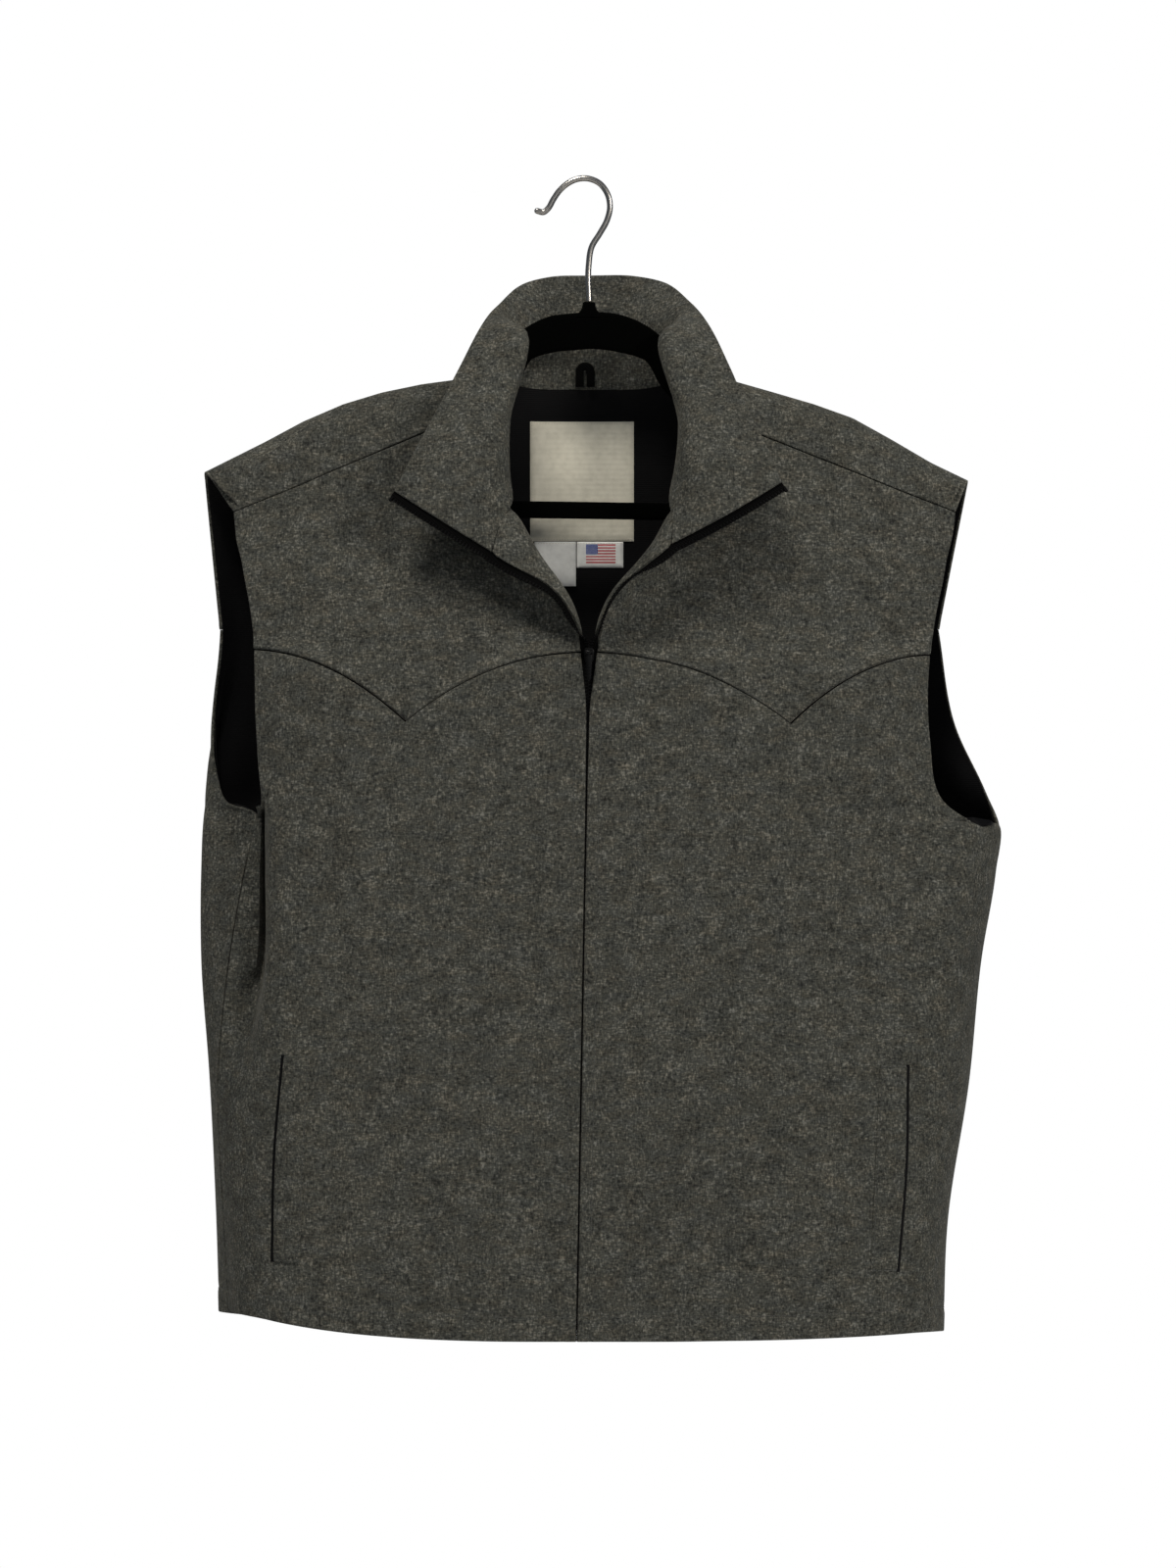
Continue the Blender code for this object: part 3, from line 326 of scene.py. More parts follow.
def tuckUnder(grid):  # where the valley runs deep, the side panel stays flat up to a narrow slot beside the crest
    last = strips["columns"][-1]
    for row in grid[: armpitRow + strips["arm"][0]]:
        start, end = row[-1 - last].copy(), row[-1].copy()
        deep = np.clip((start[1] - end[1] - tuck["from"]) / tuck["full"], 0, 1)
        if deep > 0:
            lip = np.array([start[0] + tuck["slot"], end[1] - tuck["lipBack"], mix(start[2], end[2], tuck["lipRise"])])
            steps = [tuck["lipStrips"], last - tuck["lipStrips"]]
            row[-1 - last:] = mix(row[-1 - last:], through([start, lip, end], steps, {1: tuck["corner"]}), deep)


def frontGrid(side):  # rows from hem to shoulder seam, columns from zip outwards
    net = []
    for row in bodyRows[side]:
        outer = [(row.crestX, row.crestY), (row.valleyX, row.valleyY), (row.seamX, row.seamY, row.zOut)]
        net.append(closedRow(side, row.zIn, row.frontY, outer, cut["hemCurve"]))
    for row in armRows[side]:
        outer = [(row.edgeX - dx * row.setback, row.edgeY - dy * row.setback) for dx, dy in cut["armSetback"]]
        net.append(closedRow(side, row.zIn, row.frontY, [*outer, (row.edgeX, row.edgeY, row.edgeZ)], cut["armCurve"]))
    corners = {len(net) - 1: (underColumn, 1), len(net) + cut["neckPoint"]: (underColumn, underColumn)}
    net += [lapelRow(row) for row in lapelRows[side]]
    grid = loft(net, strips["columns"], strips["body"] + strips["arm"] + strips["lapel"], corners)
    grid[: armpitRow + 1, -1] = sideSeam(side)
    tuckUnder(grid)
    seamZ = grid[seamRow, :, 2].copy()
    near = np.clip(1 - np.abs(grid[:, :, 2] - seamZ) / cut["yokeReach"], 0, 1) ** cut["yokeFade"]
    grid[:, :, 2] -= near * yokeDrop(side, grid[seamRow, :, 0])
    return grid * (sides[side], 1, 1)


def neckCurve(side):  # from the middle of the back to the shoulder seam
    s = lapelRows[side][-1]
    return through([*cut["neckBack"], (s.edgeX, s.edgeY, s.edgeZ)], strips["neck"])


def yokeColumn(side, top, seam, ridgeX):  # up the back and over the shoulder
    over = top[1] < -1
    crown = np.asarray(top, float)
    if over:
        crown = np.array([ridgeX, 0, np.interp(ridgeX, *np.array(ridges[side], float).T)])
    path = [seam]
    for fall in cut["yokeFalls"]:
        point = mix(crown, seam, fall)
        point[1] = mix(crown[1], seam[1], 1 - (1 - fall) ** (cut["backPower"] / seam[1]))
        path.append(point)
    path.append(crown)
    if not over:
        share = cut["crownShare"]
        return atFractions(path, [*(share * strips["yokeBack"]), *(share + (1 - share) * strips["yokeOver"])])
    crownPlace = len(path) - 1
    if top[1] < -cut["ridgeRadius"] - cut["ridgeRoom"]:
        path.append(crown + (0, -cut["ridgeRadius"], -cut["ridgeFall"]))
    return atFractions(path + [top], strips["yokeBack"], crownPlace, strips["yokeOver"])


def backProfile(row, edge, middleZ, share, curve):  # from the side to the middle of the back
    xy = [(row.bulgeX, row.bulgeY), (row.bulgeX - cut["backCorner"], row.backY * share), (row.bulgeX / 2, row.backY)]
    profile = [(x, y, mix(middleZ, edge[2], min(1, x / edge[0]) ** curve)) for x, y in xy]
    return [edge, *profile, (0, row.backY + 1, middleZ)]


def backHalf(side, front):  # rows from hem to neck, columns from the side to the middle
    topRow = front[-1] * (sides[side], 1, 1)
    tops = np.concatenate([topRow[::-1], neckCurve(side)[-2::-1]])
    fractions = 1 - tops[:, 0] / tops[0, 0]
    low, high = cut["backShares"]
    profiles = [backProfile(r, (r.seamX, r.seamY, r.zOut), r.zIn + cut["backRise"], low, cut["hemCurve"])
                for r in bodyRows[side]]
    profiles += [backProfile(r, (r.edgeX, r.edgeY, r.edgeZ), r.zIn, high, 1) for r in backArmRows[side]]
    atBulge = sum(strips["columns"][-2:])
    nearShares = fractions[: atBulge + 1] / fractions[atBulge]
    farShares = (fractions[atBulge + 1:] - fractions[atBulge]) / (1 - fractions[atBulge])
    net = np.array([atFractions(profile, nearShares, 1, farShares) for profile in profiles])
    lower = np.stack([through(net[:, j], strips["body"] + strips["backArm"]) for j in range(net.shape[1])], axis=1)
    lower[: armpitRow + 1, 0] = sideSeam(side)
    innerX, outerX = topRow[0, 0], topRow[-1, 0]
    spread = ridges[side][-1][0] - outerX
    upper = np.stack(
        [
            yokeColumn(side, top, seam, top[0] + spread * max(0.0, (top[0] - innerX) / (outerX - innerX)))
            for top, seam in zip(tops, lower[-1])
        ],
        axis=1,
    )
    return np.concatenate([lower, upper[1:]]) * (sides[side], 1, 1)


def collarHalf(side, front):  # columns from the middle of the back to the tip, rows from seam to top edge
    frontNeck = front[-neckRows - 1:, 0] * (sides[side], 1, 1)
    neck = np.concatenate([neckCurve(side)[:-1], frontNeck[::-1]])
    steps = strips["neck"] + strips["lapel"][: cut["neckPoint"]: -1]
    middle = through([(r.midX, r.midY, r.midZ) for r in collarRows[side]], steps)
    top = through([(r.topX, r.topY, r.topZ) for r in collarRows[side]], steps)
    columns = [through(c, strips["collar"]) for c in zip(neck, middle, top)]
    return np.stack(columns, axis=1) * (sides[side], 1, 1)


# Drape: soft uneven troughs and ridges, listed one by one, and the slight unevenness of thick cloth

frontFolds = [  # x, z to x, z, half width, height outwards
    (228, -395, 236, -610, 17, -3.2),
    (243, -520, 228, -640, 14, 2.0),
    (205, -470, 150, -640, 26, -1.3),
    (176, -560, 120, -800, 30, 1.2),
    (60, -470, 96, -800, 34, -1.1),
    (20, -420, 34, -560, 16, 0.8),
    (-60, -430, -84, -760, 34, -1.2),
    (-150, -470, -118, -800, 30, 1.2),
    (-196, -430, -176, -640, 22, -1.5),
    (-214, -600, -186, -820, 16, 1.2),
    (-228, -770, -236, -838, 12, -1.6),
    (232, -800, 225, -840, 14, -1.2),
    (10, -326, 212, -320, 27, -5.0),
    (60, -352, 190, -348, 13, 1.6),
    (-112, -302, -190, -262, 20, -2.2),
]
backFolds = [
    (0, -200, 0, -340, 60, 1.5),
    (-150, -360, -110, -800, 34, -3.0),
    (-60, -430, -70, -815, 30, 2.4),
    (40, -420, 58, -815, 32, -2.8),
    (150, -370, 128, -800, 34, 2.6),
    (215, -440, 205, -760, 24, -2.6),
    (-222, -440, -215, -760, 24, -2.2),
]
drape = {"broad": 0.55, "broadSize": 62.0, "small": 0.24, "smallSize": 21.0, "bend": (0.22, 7.0, 5.0),
         "ends": (0.28, 0.2), "swell": (0.85, 0.3, 11.0)}
calmZone = {"frontTop": -236.0, "backTop": -246.0, "topFade": 60.0, "zip": 2.0, "zipFade": 26.0,
            "seam": 8.0, "seamFade": 16.0}


def foldHeight(grid, folds):
    x, z = grid[..., 0], grid[..., 2]
    height = np.zeros(x.shape)
    bendShare, bendTurns, bendPhase = drape["bend"]
    endsFrom, endsFade = drape["ends"]
    swellBase, swellShare, swellTurns = drape["swell"]
    for x0, z0, x1, z1, width, depth in folds:
        length = math.hypot(x1 - x0, z1 - z0)
        ux, uz = (x1 - x0) / length, (z1 - z0) / length
        along = ((x - x0) * ux + (z - z0) * uz) / length
        bend = bendShare * width * np.sin(along * bendTurns + depth * bendPhase)  # a fold never runs quite straight
        off = (x - x0) * -uz + (z - z0) * ux + bend
        fade = np.exp(-((np.clip(np.abs(along - 0.5) - endsFrom, 0, None) / endsFade) ** 2))
        swell = swellBase + swellShare * np.sin(along * swellTurns + width)
        height += depth * fade * np.exp(-((off / width) ** 2)) * swell
    return height


def unevenness(grid):
    found = [
        drape["broad"] * noise.noise(Vector(p) / drape["broadSize"])
        + drape["small"] * noise.noise(Vector(p) / drape["smallSize"])
        for p in grid.reshape(-1, 3)
    ]
    return np.array(found).reshape(grid.shape[:2])


def draped(grid, sign, folds, calm):  # calm damps the folds where the hanger carries the cloth
    height = (foldHeight(grid, folds) + unevenness(grid)) * calm
    return grid + normalsOf(grid, sign) * height[..., None]


def sharedNormal(first, second):  # one normal on both sides of a seam
    second[...] = unit(first + second)
    return second


seen = {side: frontGrid(side) for side in sides}
fronts = {side: drawnIn(seen[side]) for side in sides}
backHalves = {side: backHalf(side, seen[side]) for side in sides}
back = drawnIn(np.concatenate([backHalves["right"], backHalves["left"][:, ::-1][:, 1:]], axis=1))
halves = {side: drawnIn(collarHalf(side, seen[side])) for side in sides}
collar = np.concatenate([halves["right"][:, ::-1], halves["left"][:, 1:]], axis=1)
sliderFaceY = fronts["left"][seamRow, 0, 1] - cut["sliderGap"]


def calmOf(grid, top, depth):  # quiet at the shoulders and the side seams
    calm = np.clip((top - grid[..., 2]) / calmZone["topFade"], 0, 1)
    return calm * np.clip((depth - calmZone["seam"]) / calmZone["seamFade"], 0, 1)


def zipCalm(grid):  # and at the zip
    return np.clip((np.abs(grid[..., 0] - lean(grid[..., 2])) - calmZone["zip"]) / calmZone["zipFade"], 0, 1)


for side, grid in fronts.items():
    calm = calmOf(grid, calmZone["frontTop"], np.abs(grid[..., 1])) * zipCalm(grid)
    fronts[side] = draped(grid, sides[side], frontFolds, calm)
back = draped(back, -1, backFolds, calmOf(back, calmZone["backTop"], back[..., 1]))
frontOut = {side: normalsOf(fronts[side], sides[side]) for side in sides}
backOut = normalsOf(back, -1)
collarOut = normalsOf(collar, -1)
for side, column in (("right", 0), ("left", -1)):
    out = frontOut[side]
    out[: armpitRow + 1, -1] = sharedNormal(out[: armpitRow + 1, -1], backOut[: armpitRow + 1, column])
    count = out.shape[1]
    shoulder = backOut[-1, :count] if side == "right" else backOut[-1, ::-1][:count]
    out[-1] = sharedNormal(out[-1], shoulder[::-1])
    lapel = collarOut[0, : neckRows + 1] if side == "right" else collarOut[0, ::-1][: neckRows + 1]
    out[-neckRows - 1:, 0] = sharedNormal(out[-neckRows - 1:, 0], lapel)
print("cut and drape: front", fronts["left"].shape[:2], "back", back.shape[:2], "collar", collar.shape[:2])


# Finishes

def hexLinear(code):  # sRGB hex to linear
    parts = [int(code[i:i + 2], 16) / 255 for i in (0, 2, 4)]
    return tuple(c / 12.92 if c <= 0.04045 else ((c + 0.055) / 1.055) ** 2.4 for c in parts) + (1.0,)


def addNode(tree, kind, settings=None, links=None):  # settings: attributes and sockets; links: socket -> other socket
    node = tree.nodes.new(kind)
    for key, value in (settings or {}).items():
        if isinstance(key, int) or key in node.inputs:
            node.inputs[key].default_value = value
        elif key == "stops":
            ramp = node.color_ramp
            while len(ramp.elements) < len(value):
                ramp.elements.new(0.5)
            for element, (place, code) in zip(ramp.elements, value):
                element.position = place
                element.color = hexLinear(code)
        else:
            setattr(node, key, value)
    for key, source in (links or {}).items():
        tree.links.new(source, node.inputs[key])
    return node


def startFinish(name, settings):
    material = bpy.data.materials.new(name)
    material.use_nodes = True
    tree = material.node_tree
    shader = tree.nodes["Principled BSDF"]
    for key, value in settings.items():
        shader.inputs[key].default_value = value
    place = addNode(tree, "ShaderNodeTexCoord")
    return material, tree, shader, place.outputs["Object"]


def perMetre(size):  # texture scale for a feature of this many millimetres
    return 1000.0 / size


def grain(size, detail, roughness=0.5, stretch=None):  # noise with features of that size
    def texture(tree, place):
        if stretch:
            place = addNode(tree, "ShaderNodeMapping", {"Scale": stretch}, {"Vector": place}).outputs["Vector"]
        settings = {"Scale": perMetre(size), "Detail": detail, "Roughness": roughness}
        return addNode(tree, "ShaderNodeTexNoise", settings, {"Vector": place}).outputs["Fac"]

    return texture


def rib(size, direction, distortion=0.0, detailScale=1.0):  # ribs of a weave, drawn coarse so that they show
    def texture(tree, place):
        settings = {"bands_direction": direction, "Scale": perMetre(size) / math.pi, "Distortion": distortion,
                    "Detail": 2.0, "Detail Scale": detailScale}
        return addNode(tree, "ShaderNodeTexWave", settings, {"Vector": place}).outputs["Fac"]

    return texture


def scaled(tree, value, factor, plus):  # value * factor + plus, where plus is a number or a socket
    node = addNode(tree, "ShaderNodeMath", {"operation": "MULTIPLY_ADD", 1: factor}, {0: value})
    if isinstance(plus, float):
        node.inputs[2].default_value = plus
    else:
        tree.links.new(plus, node.inputs[2])
    return node.outputs["Value"]


def rampOf(tree, stops, value):
    return addNode(tree, "ShaderNodeValToRGB", {"stops": stops}, {"Fac": value}).outputs["Color"]


def glossBy(tree, shader, low, high, value):
    gloss = addNode(tree, "ShaderNodeMapRange", {"To Min": low, "To Max": high}, {"Value": value})
    tree.links.new(gloss.outputs["Result"], shader.inputs["Roughness"])


def bumpBy(tree, shader, strength, depth, value):
    bump = addNode(tree, "ShaderNodeBump", {"Strength": strength, "Distance": depth}, {"Height": value})
    tree.links.new(bump.outputs["Normal"], shader.inputs["Normal"])


def finishOf(name, settings, texture, stops, gloss=None, bump=None, cloud=None):  # one texture for colour and relief
    material, tree, shader, place = startFinish(name, settings)
    relief = tone = texture(tree, place)
    if cloud:  # a broader unevenness below the weave
        size, detail, share = cloud
        tone = scaled(tree, relief, share, grain(size, detail)(tree, place))
    tree.links.new(rampOf(tree, stops, tone), shader.inputs["Base Color"])
    if gloss:
        glossBy(tree, shader, *gloss, relief)
    if bump:
        bumpBy(tree, shader, *bump, relief)
    return material


def woolMelton():  # milled and napped wool: matt heather of dark, mid, light and tan fibres under a short nap
    material, tree, shader, place = startFinish(
        "woolMelton", {"Roughness": 0.93, "Specular IOR Level": 0.18, "Sheen Weight": 0.10, "Sheen Roughness": 0.55,
                       "Sheen Tint": hexLinear("b9b6aa")})
    turnedPlace = {"Scale": (0.42, 1.0, 1.0), "Location": (0.31, 0.17, 0.05)}
    level = addNode(tree, "ShaderNodeMapping", turnedPlace, {"Vector": place}).outputs["Vector"]
    upright = grain(1.25, 2.0, 0.6, (1.0, 1.0, 0.42))(tree, place)
    crossing = grain(1.25, 2.0, 0.6)(tree, level)
    both = addNode(tree, "ShaderNodeMath", {"operation": "ADD"}, {0: upright, 1: crossing}).outputs["Value"]
    cloud = scaled(tree, grain(13.0, 3.0, 0.55)(tree, place), 0.22, -0.11)
    tone = scaled(tree, both, 0.5, cloud)
    heather = rampOf(tree, [(0.34, "191a19"), (0.44, "333431"), (0.50, "3f403c"), (0.56, "4b4b46"), (0.66, "71706a")], tone)
    dye = rampOf(tree, [(0.36, "b9bfc4"), (0.5, "c4c3bb"), (0.66, "cbbda6")], grain(7.0, 4.0, 0.7)(tree, level))
    colour = addNode(tree, "ShaderNodeMix", {"data_type": "RGBA", "blend_type": "MULTIPLY", 0: 0.55}, {6: heather, 7: dye})
    tree.links.new(colour.outputs[2], shader.inputs["Base Color"])
    bumpBy(tree, shader, 0.55, 0.0009, scaled(tree, grain(0.6, 3.0, 0.7)(tree, place), 0.4, tone))
    return material


def enamelledZinc():  # die-cast zinc under black enamel: glossy, rubbed to bare metal on the proud edges
    material, tree, shader, place = startFinish("enamelledZinc", {"Specular IOR Level": 0.12})
    edge = addNode(tree, "ShaderNodeNewGeometry").outputs["Pointiness"]
    scratch = grain(1.6, 5.0, 0.7)(tree, place)
    proud = scaled(tree, scratch, 0.35, edge)
    rubbed = addNode(tree, "ShaderNodeMapRange", {"From Min": 0.80, "From Max": 0.90}, {"Value": proud}).outputs["Result"]
    tree.links.new(rampOf(tree, [(0.0, "030303"), (1.0, "8f8d88")], rubbed), shader.inputs["Base Color"])
    tree.links.new(rubbed, shader.inputs["Metallic"])
    glossBy(tree, shader, 0.26, 0.4, scratch)
    return material


def wovenLabel(name, dark, light, pick):  # woven satin label: fine level picks that catch the light a little
    return finishOf(name, {"Roughness": 0.62, "Specular IOR Level": 0.35, "Sheen Weight": 0.08}, rib(pick, "Z", 0.8, 3.0),
                    [(0.3, dark), (1.0, light)], bump=(0.35, 0.0003), cloud=(5.0, 4.0, 0.5))


def sewingThread(name, dark, light):  # spun polyester thread: two plies twisted, slightly bright
    return finishOf(name, {"Roughness": 0.7, "Specular IOR Level": 0.3, "Sheen Weight": 0.1}, rib(0.5, "DIAGONAL"),
                    [(0.0, dark), (1.0, light)], bump=(0.5, 0.0002))


def printedInk(name, dark, light):  # ink printed into the label's weave: the cloth still breaks its colour up
    return finishOf(name, {"Roughness": 0.7, "Specular IOR Level": 0.25}, grain(0.8, 3.0),
                    [(0.3, dark), (0.75, light)], bump=(0.2, 0.0002))


wool = woolMelton()
lining = finishOf(  # plain-woven black polyester: dark, faintly glossy, with a fine rib
    "taffetaLining", {"Roughness": 0.6, "Specular IOR Level": 0.08}, rib(1.4, "Z", 1.2, 2.0),
    [(0.3, "010102"), (0.95, "050506")], bump=(0.25, 0.0004), cloud=(24.0, 3.0, 0.35))
tapeTwill = finishOf(  # black polyester twill tape: matt, with a slanting rib
    "zipTapeTwill", {"Roughness": 0.85, "Specular IOR Level": 0.03}, rib(1.1, "DIAGONAL", 0.6),
    [(0.0, "020202"), (1.0, "070707")], bump=(0.5, 0.0003))
acetal = finishOf(  # moulded black acetal teeth: smooth, with small soft glints
    "mouldedAcetal", {"IOR": 1.48, "Specular IOR Level": 0.08}, grain(2.0, 3.0),
    [(0.35, "040404"), (0.75, "0a0a0b")], gloss=(0.24, 0.42))
zinc = enamelledZinc()
creamLabel = wovenLabel("creamWovenLabel", "b5b1a1", "d3cfbf", 0.9)
whiteLabel = wovenLabel("whiteSatinLabel", "bcbdbb", "dddedb", 0.8)
flock = finishOf(  # short black nylon pile glued to the hanger: takes nearly all light, soft at grazing angles
    "velvetFlock", {"Roughness": 1.0, "Specular IOR Level": 0.0, "Sheen Weight": 0.006, "Sheen Roughness": 0.6},
    grain(0.9, 4.0, 0.75), [(0.3, "010101"), (0.8, "040504")], bump=(0.6, 0.0005))
chrome = finishOf(  # drawn steel wire, chrome plated: mirror bright with faint drawing marks
    "chromedWire", {"Metallic": 1.0}, grain(0.8, 4.0, stretch=(1.0, 1.0, 0.08)),
    [(0.3, "8d8a86"), (0.8, "a5a29d")], gloss=(0.2, 0.3))
greyThread = sewingThread("greyThread", "262725", "3b3c38")
creamThread = sewingThread("creamThread", "a6a293", "c8c4b4")
redInk = printedInk("redInk", "96232d", "b4434a")
blueInk = printedInk("blueInk", "2f3c78", "4a5892")
print("finishes made:", len(bpy.data.materials))


# Meshes

def addPiece(name, points, faces, finish, slot, nodes=(), body="garment", smooth=True, sharpAngle=0.9):
    mesh = bpy.data.meshes.new(name)
    places = np.asarray(points, float) * mm + (stemX * mm, 0, 0)
    mesh.from_pydata(places.tolist(), [], [tuple(int(k) for k in f) for f in faces])
    mesh.validate()
    mesh.materials.append(finish)
    if smooth:
        mesh.shade_smooth()
        mesh.set_sharp_from_angle(angle=sharpAngle)
    piece = bpy.data.objects.new(name, mesh)
    bpy.context.scene.collection.objects.link(piece)
    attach(piece, body)
    if nodes:
        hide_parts(*nodes)
    return piece


def wallFaces(rows, columns):
    index = np.arange(rows * columns).reshape(rows, columns)
    a, b, c, d = index[:-1, :-1], index[:-1, 1:], index[1:, 1:], index[1:, :-1]
    front = np.stack([a, b, c, d], axis=-1).reshape(-1, 4)
    far = rows * columns
    rim = np.concatenate([index[0], index[1:, -1], index[-1, -2::-1], index[-2:0:-1, 0]])
    nextOne = np.roll(rim, -1)
    side = np.stack([rim, rim + far, nextOne + far, nextOne], axis=-1)
    return np.concatenate([front, front[:, ::-1] + far, side])


def wall(outer, inner):  # points and faces of a closed wall between two matching grids
    across = np.cross(outer[1:, :-1] - outer[:-1, :-1], outer[:-1, 1:] - outer[:-1, :-1])
    if (across * (outer - inner)[:-1, :-1]).sum() > 0:
        outer, inner = outer[:, ::-1], inner[:, ::-1]
    points = np.concatenate([outer.reshape(-1, 3), inner.reshape(-1, 3)])
    return points, wallFaces(*outer.shape[:2])


allBorders = ("bottom", "top", "start", "end")
borderSteps = (0.3, 0.75, 1.4, 2.2, 3.2)  # rows added close to a border so that its edge can be rounded


def gradedPair(grid, normals, borders):  # the same extra rows for points and normals
    both = np.concatenate([grid, normals], axis=-1)
    for border in borders:
        g = turned(both, border)
        size = np.linalg.norm(g[1, ..., :3] - g[0, ..., :3], axis=-1, keepdims=True).clip(1e-6)
        shares = [np.minimum(step, 0.85 * size * step / borderSteps[-1]) / size for step in borderSteps]
        extra = [g[0] * (1 - s) + g[1] * s for s in shares]
        g = np.concatenate([g[:1], np.array(extra), g[1:]])
        both = np.swapaxes(g, 0, 1)[:, ::-1] if border == "end" else turned(g, border)
    return both[..., :3], unit(both[..., 3:])


def distances(grid):  # how far each point lies from each border, along the cloth
    down, along = runningLength(grid), runningLength(np.swapaxes(grid, 0, 1)).T
    return {"bottom": down, "top": down[-1:] - down, "start": along, "end": along[:, -1:] - along}


thinnest = 0.12  # what is left of a wall at a rounded edge


def rounding(d, radius):
    return radius - np.sqrt(np.clip(radius**2 - np.clip(radius - d, 0, None) ** 2, 0, None))


def groove(d, place, depth, width):  # the dent that a row of stitches draws in
    return -depth * np.exp(-(((d - place) / width) ** 2))


def clothWall(grid, normals, depth, thickness, roundOut=None, roundIn=None, relief=None):
    far = distances(grid)
    top = np.zeros(grid.shape[:2]) if relief is None else relief(far)
    topCut, lowCut = np.zeros(grid.shape[:2]), np.zeros(grid.shape[:2])
    for border, radius in (roundOut or {}).items():
        topCut = np.maximum(topCut, rounding(far[border], radius))
    for border, radius in (roundIn or {}).items():
        lowCut = np.maximum(lowCut, rounding(far[border], radius))
    room = np.minimum(1.0, (thickness - thinnest) / np.maximum(topCut + lowCut, 1e-6))
    low = lowCut * room + np.minimum(top, 0)  # the far side follows the dents
    outer = grid + normals * (top - topCut * room - depth)[..., None]
    inner = grid + normals * (low - depth - thickness)[..., None]
    return outer, inner


def lineAt(grid, normals, border, distance, first=0, last=None):  # a line on the cloth at that distance from a border
    g = turned(np.concatenate([grid, normals], axis=-1), border)[:, first:last]
    along = runningLength(g[..., :3])
    found = [[np.interp(distance, along[:, j], g[:, j, k]) for k in range(6)] for j in range(g.shape[1])]
    return np.array(found)[:, :3], unit(np.array(found)[:, 3:])


def spacedOut(points, normals, pitch, phase=0.5):  # places, directions and normals every pitch along a line
    along = runningLength(points)
    places = np.arange(pitch * phase, along[-1], pitch)

    def at(where, values):
        return np.stack([np.interp(where, along, values[:, k]) for k in range(3)], axis=1)

    way = unit(at(places + pitch * 0.2, points) - at(places - pitch * 0.2, points))
    return at(places, points), way, unit(at(places, normals))


def circle(count):
    return np.linspace(0, 2 * np.pi, count, endpoint=False)


def tubeFaces(rings, around, closed=False):  # flat ends, unless the tube closes on itself
    faces = []
    for i in range(rings if closed else rings - 1):
        near, away = i * around, (i + 1) % rings * around
        faces += [[near + j, near + (j + 1) % around, away + (j + 1) % around, away + j] for j in range(around)]
    if not closed:
        faces += [list(range(around))[::-1], [(rings - 1) * around + j for j in range(around)]]
    return faces


def joined(parts):
    points, faces, shift = [], [], 0
    for partPoints, partFaces in parts:
        points.append(partPoints)
        faces += [[v + shift for v in face] for face in partFaces]
        shift += len(partPoints)
    return np.concatenate(points), faces


def capsules(centres, ways, ups, length, radius, profile, sideCount=6, squash=1.0, bow=0.0):
    across = unit(np.cross(ways, ups))
    ups = unit(np.cross(across, ways))
    rings = []
    for share, size in profile:  # place along the length, and share of the radius there
        middle = centres + ways * (share * length) + ups * (bow * (size - 1))
        ring = [middle + across * (radius * size * math.cos(a)) + ups * (radius * squash * size * math.sin(a))
                for a in circle(sideCount)]
        rings.append(np.stack(ring, axis=1))
    one, size = tubeFaces(len(profile), sideCount), len(profile) * sideCount
    faces = [[v + k * size for v in face] for k in range(len(centres)) for face in one]
    return np.stack(rings, axis=1).reshape(-1, 3), faces


stitch = {"length": 3.0, "pitch": 3.7, "radius": 0.34, "lift": 0.05}
labelStitch = {"length": 1.7, "pitch": 2.1, "radius": 0.2, "lift": 0.05}
threadShape = {"profile": ((-0.5, 0.35), (-0.36, 0.85), (0.0, 1.0), (0.36, 0.85), (0.5, 0.35)), "bow": 0.55}


def sewLine(lines, settings):  # all stitches along some lines of points and normals
    made = []
    for points, normals in lines:
        centres, ways, ups = spacedOut(points, normals, settings["pitch"])
        if len(centres) > 1:
            centres = centres + ups * settings["lift"]
            made.append(capsules(centres, ways, ups, settings["length"], settings["radius"], **threadShape))
    return joined(made)


def sewnPiece(name, node, outer, inner, finish=wool, slot="wool"):  # prints its area in square metres
    piece = addPiece(name, *wall(outer, inner), finish, slot, [node])
    print(name, round(sum(p.area for p in piece.data.polygons) / 2, 5))  # half the closed wall's surface


# Fronts

woolCloth = {"thickness": 2.2, "sideEase": 0.32, "hemClosing": (0.4, -765.0, 30.0)}
sewing = {"hemAt": 18.0, "zipAt": 9.0, "dent": (0.42, 1.5), "hemThick": 0.45, "zipThick": 0.35, "hemFade": 4.0,
          "zipFade": 3.0, "underYoke": (0.55, 3.0), "hemRow": (4, -4), "zipRow": (22, -8)}
frontLower = {"ease": 0.45, "soft": {"bottom": 1.1, "start": 1.1, "end": 1.3, "top": 1.25},
              "turn": {"bottom": 0.9, "start": 0.6},
              "flat": {"left": (314.0, 512.0, 0.137), "right": (296.0, 512.0, 0.137)}}
frontYoke = {"eases": {"bottom": 0.45, "top": 0.9, "end": 0.32}, "neckEase": 1.3,
             "swell": {"bottom": (2.6, 0.5, 3.0), "top": (3.4, 0.2, 2.6)},  # the turned-in seams
             "soft": {"bottom": 1.25, "top": 1.25, "start": 1.0, "end": 1.1}, "turn": {"end": 0.8},
             "flat": {"left": (276.0, 236.0, 0.047), "right": (262.0, 236.0, 0.045)}}
facingCloth = {"depth": 3.0, "thickness": 1.7, "rows": (2, 40), "rise": 2.6, "riseOver": 24.0,
               "turn": {"start": 0.8, "top": 0.5}, "flat": (52, 105, 0.005)}


def sideGap(seam):  # the side seam shows as a fine line, and closes towards the hem where no lining lies behind it
    closing, fromZ, over = woolCloth["hemClosing"]
    return woolCloth["sideEase"] - closing * np.clip((fromZ - seam[:, 2:]) / over, 0, 1)


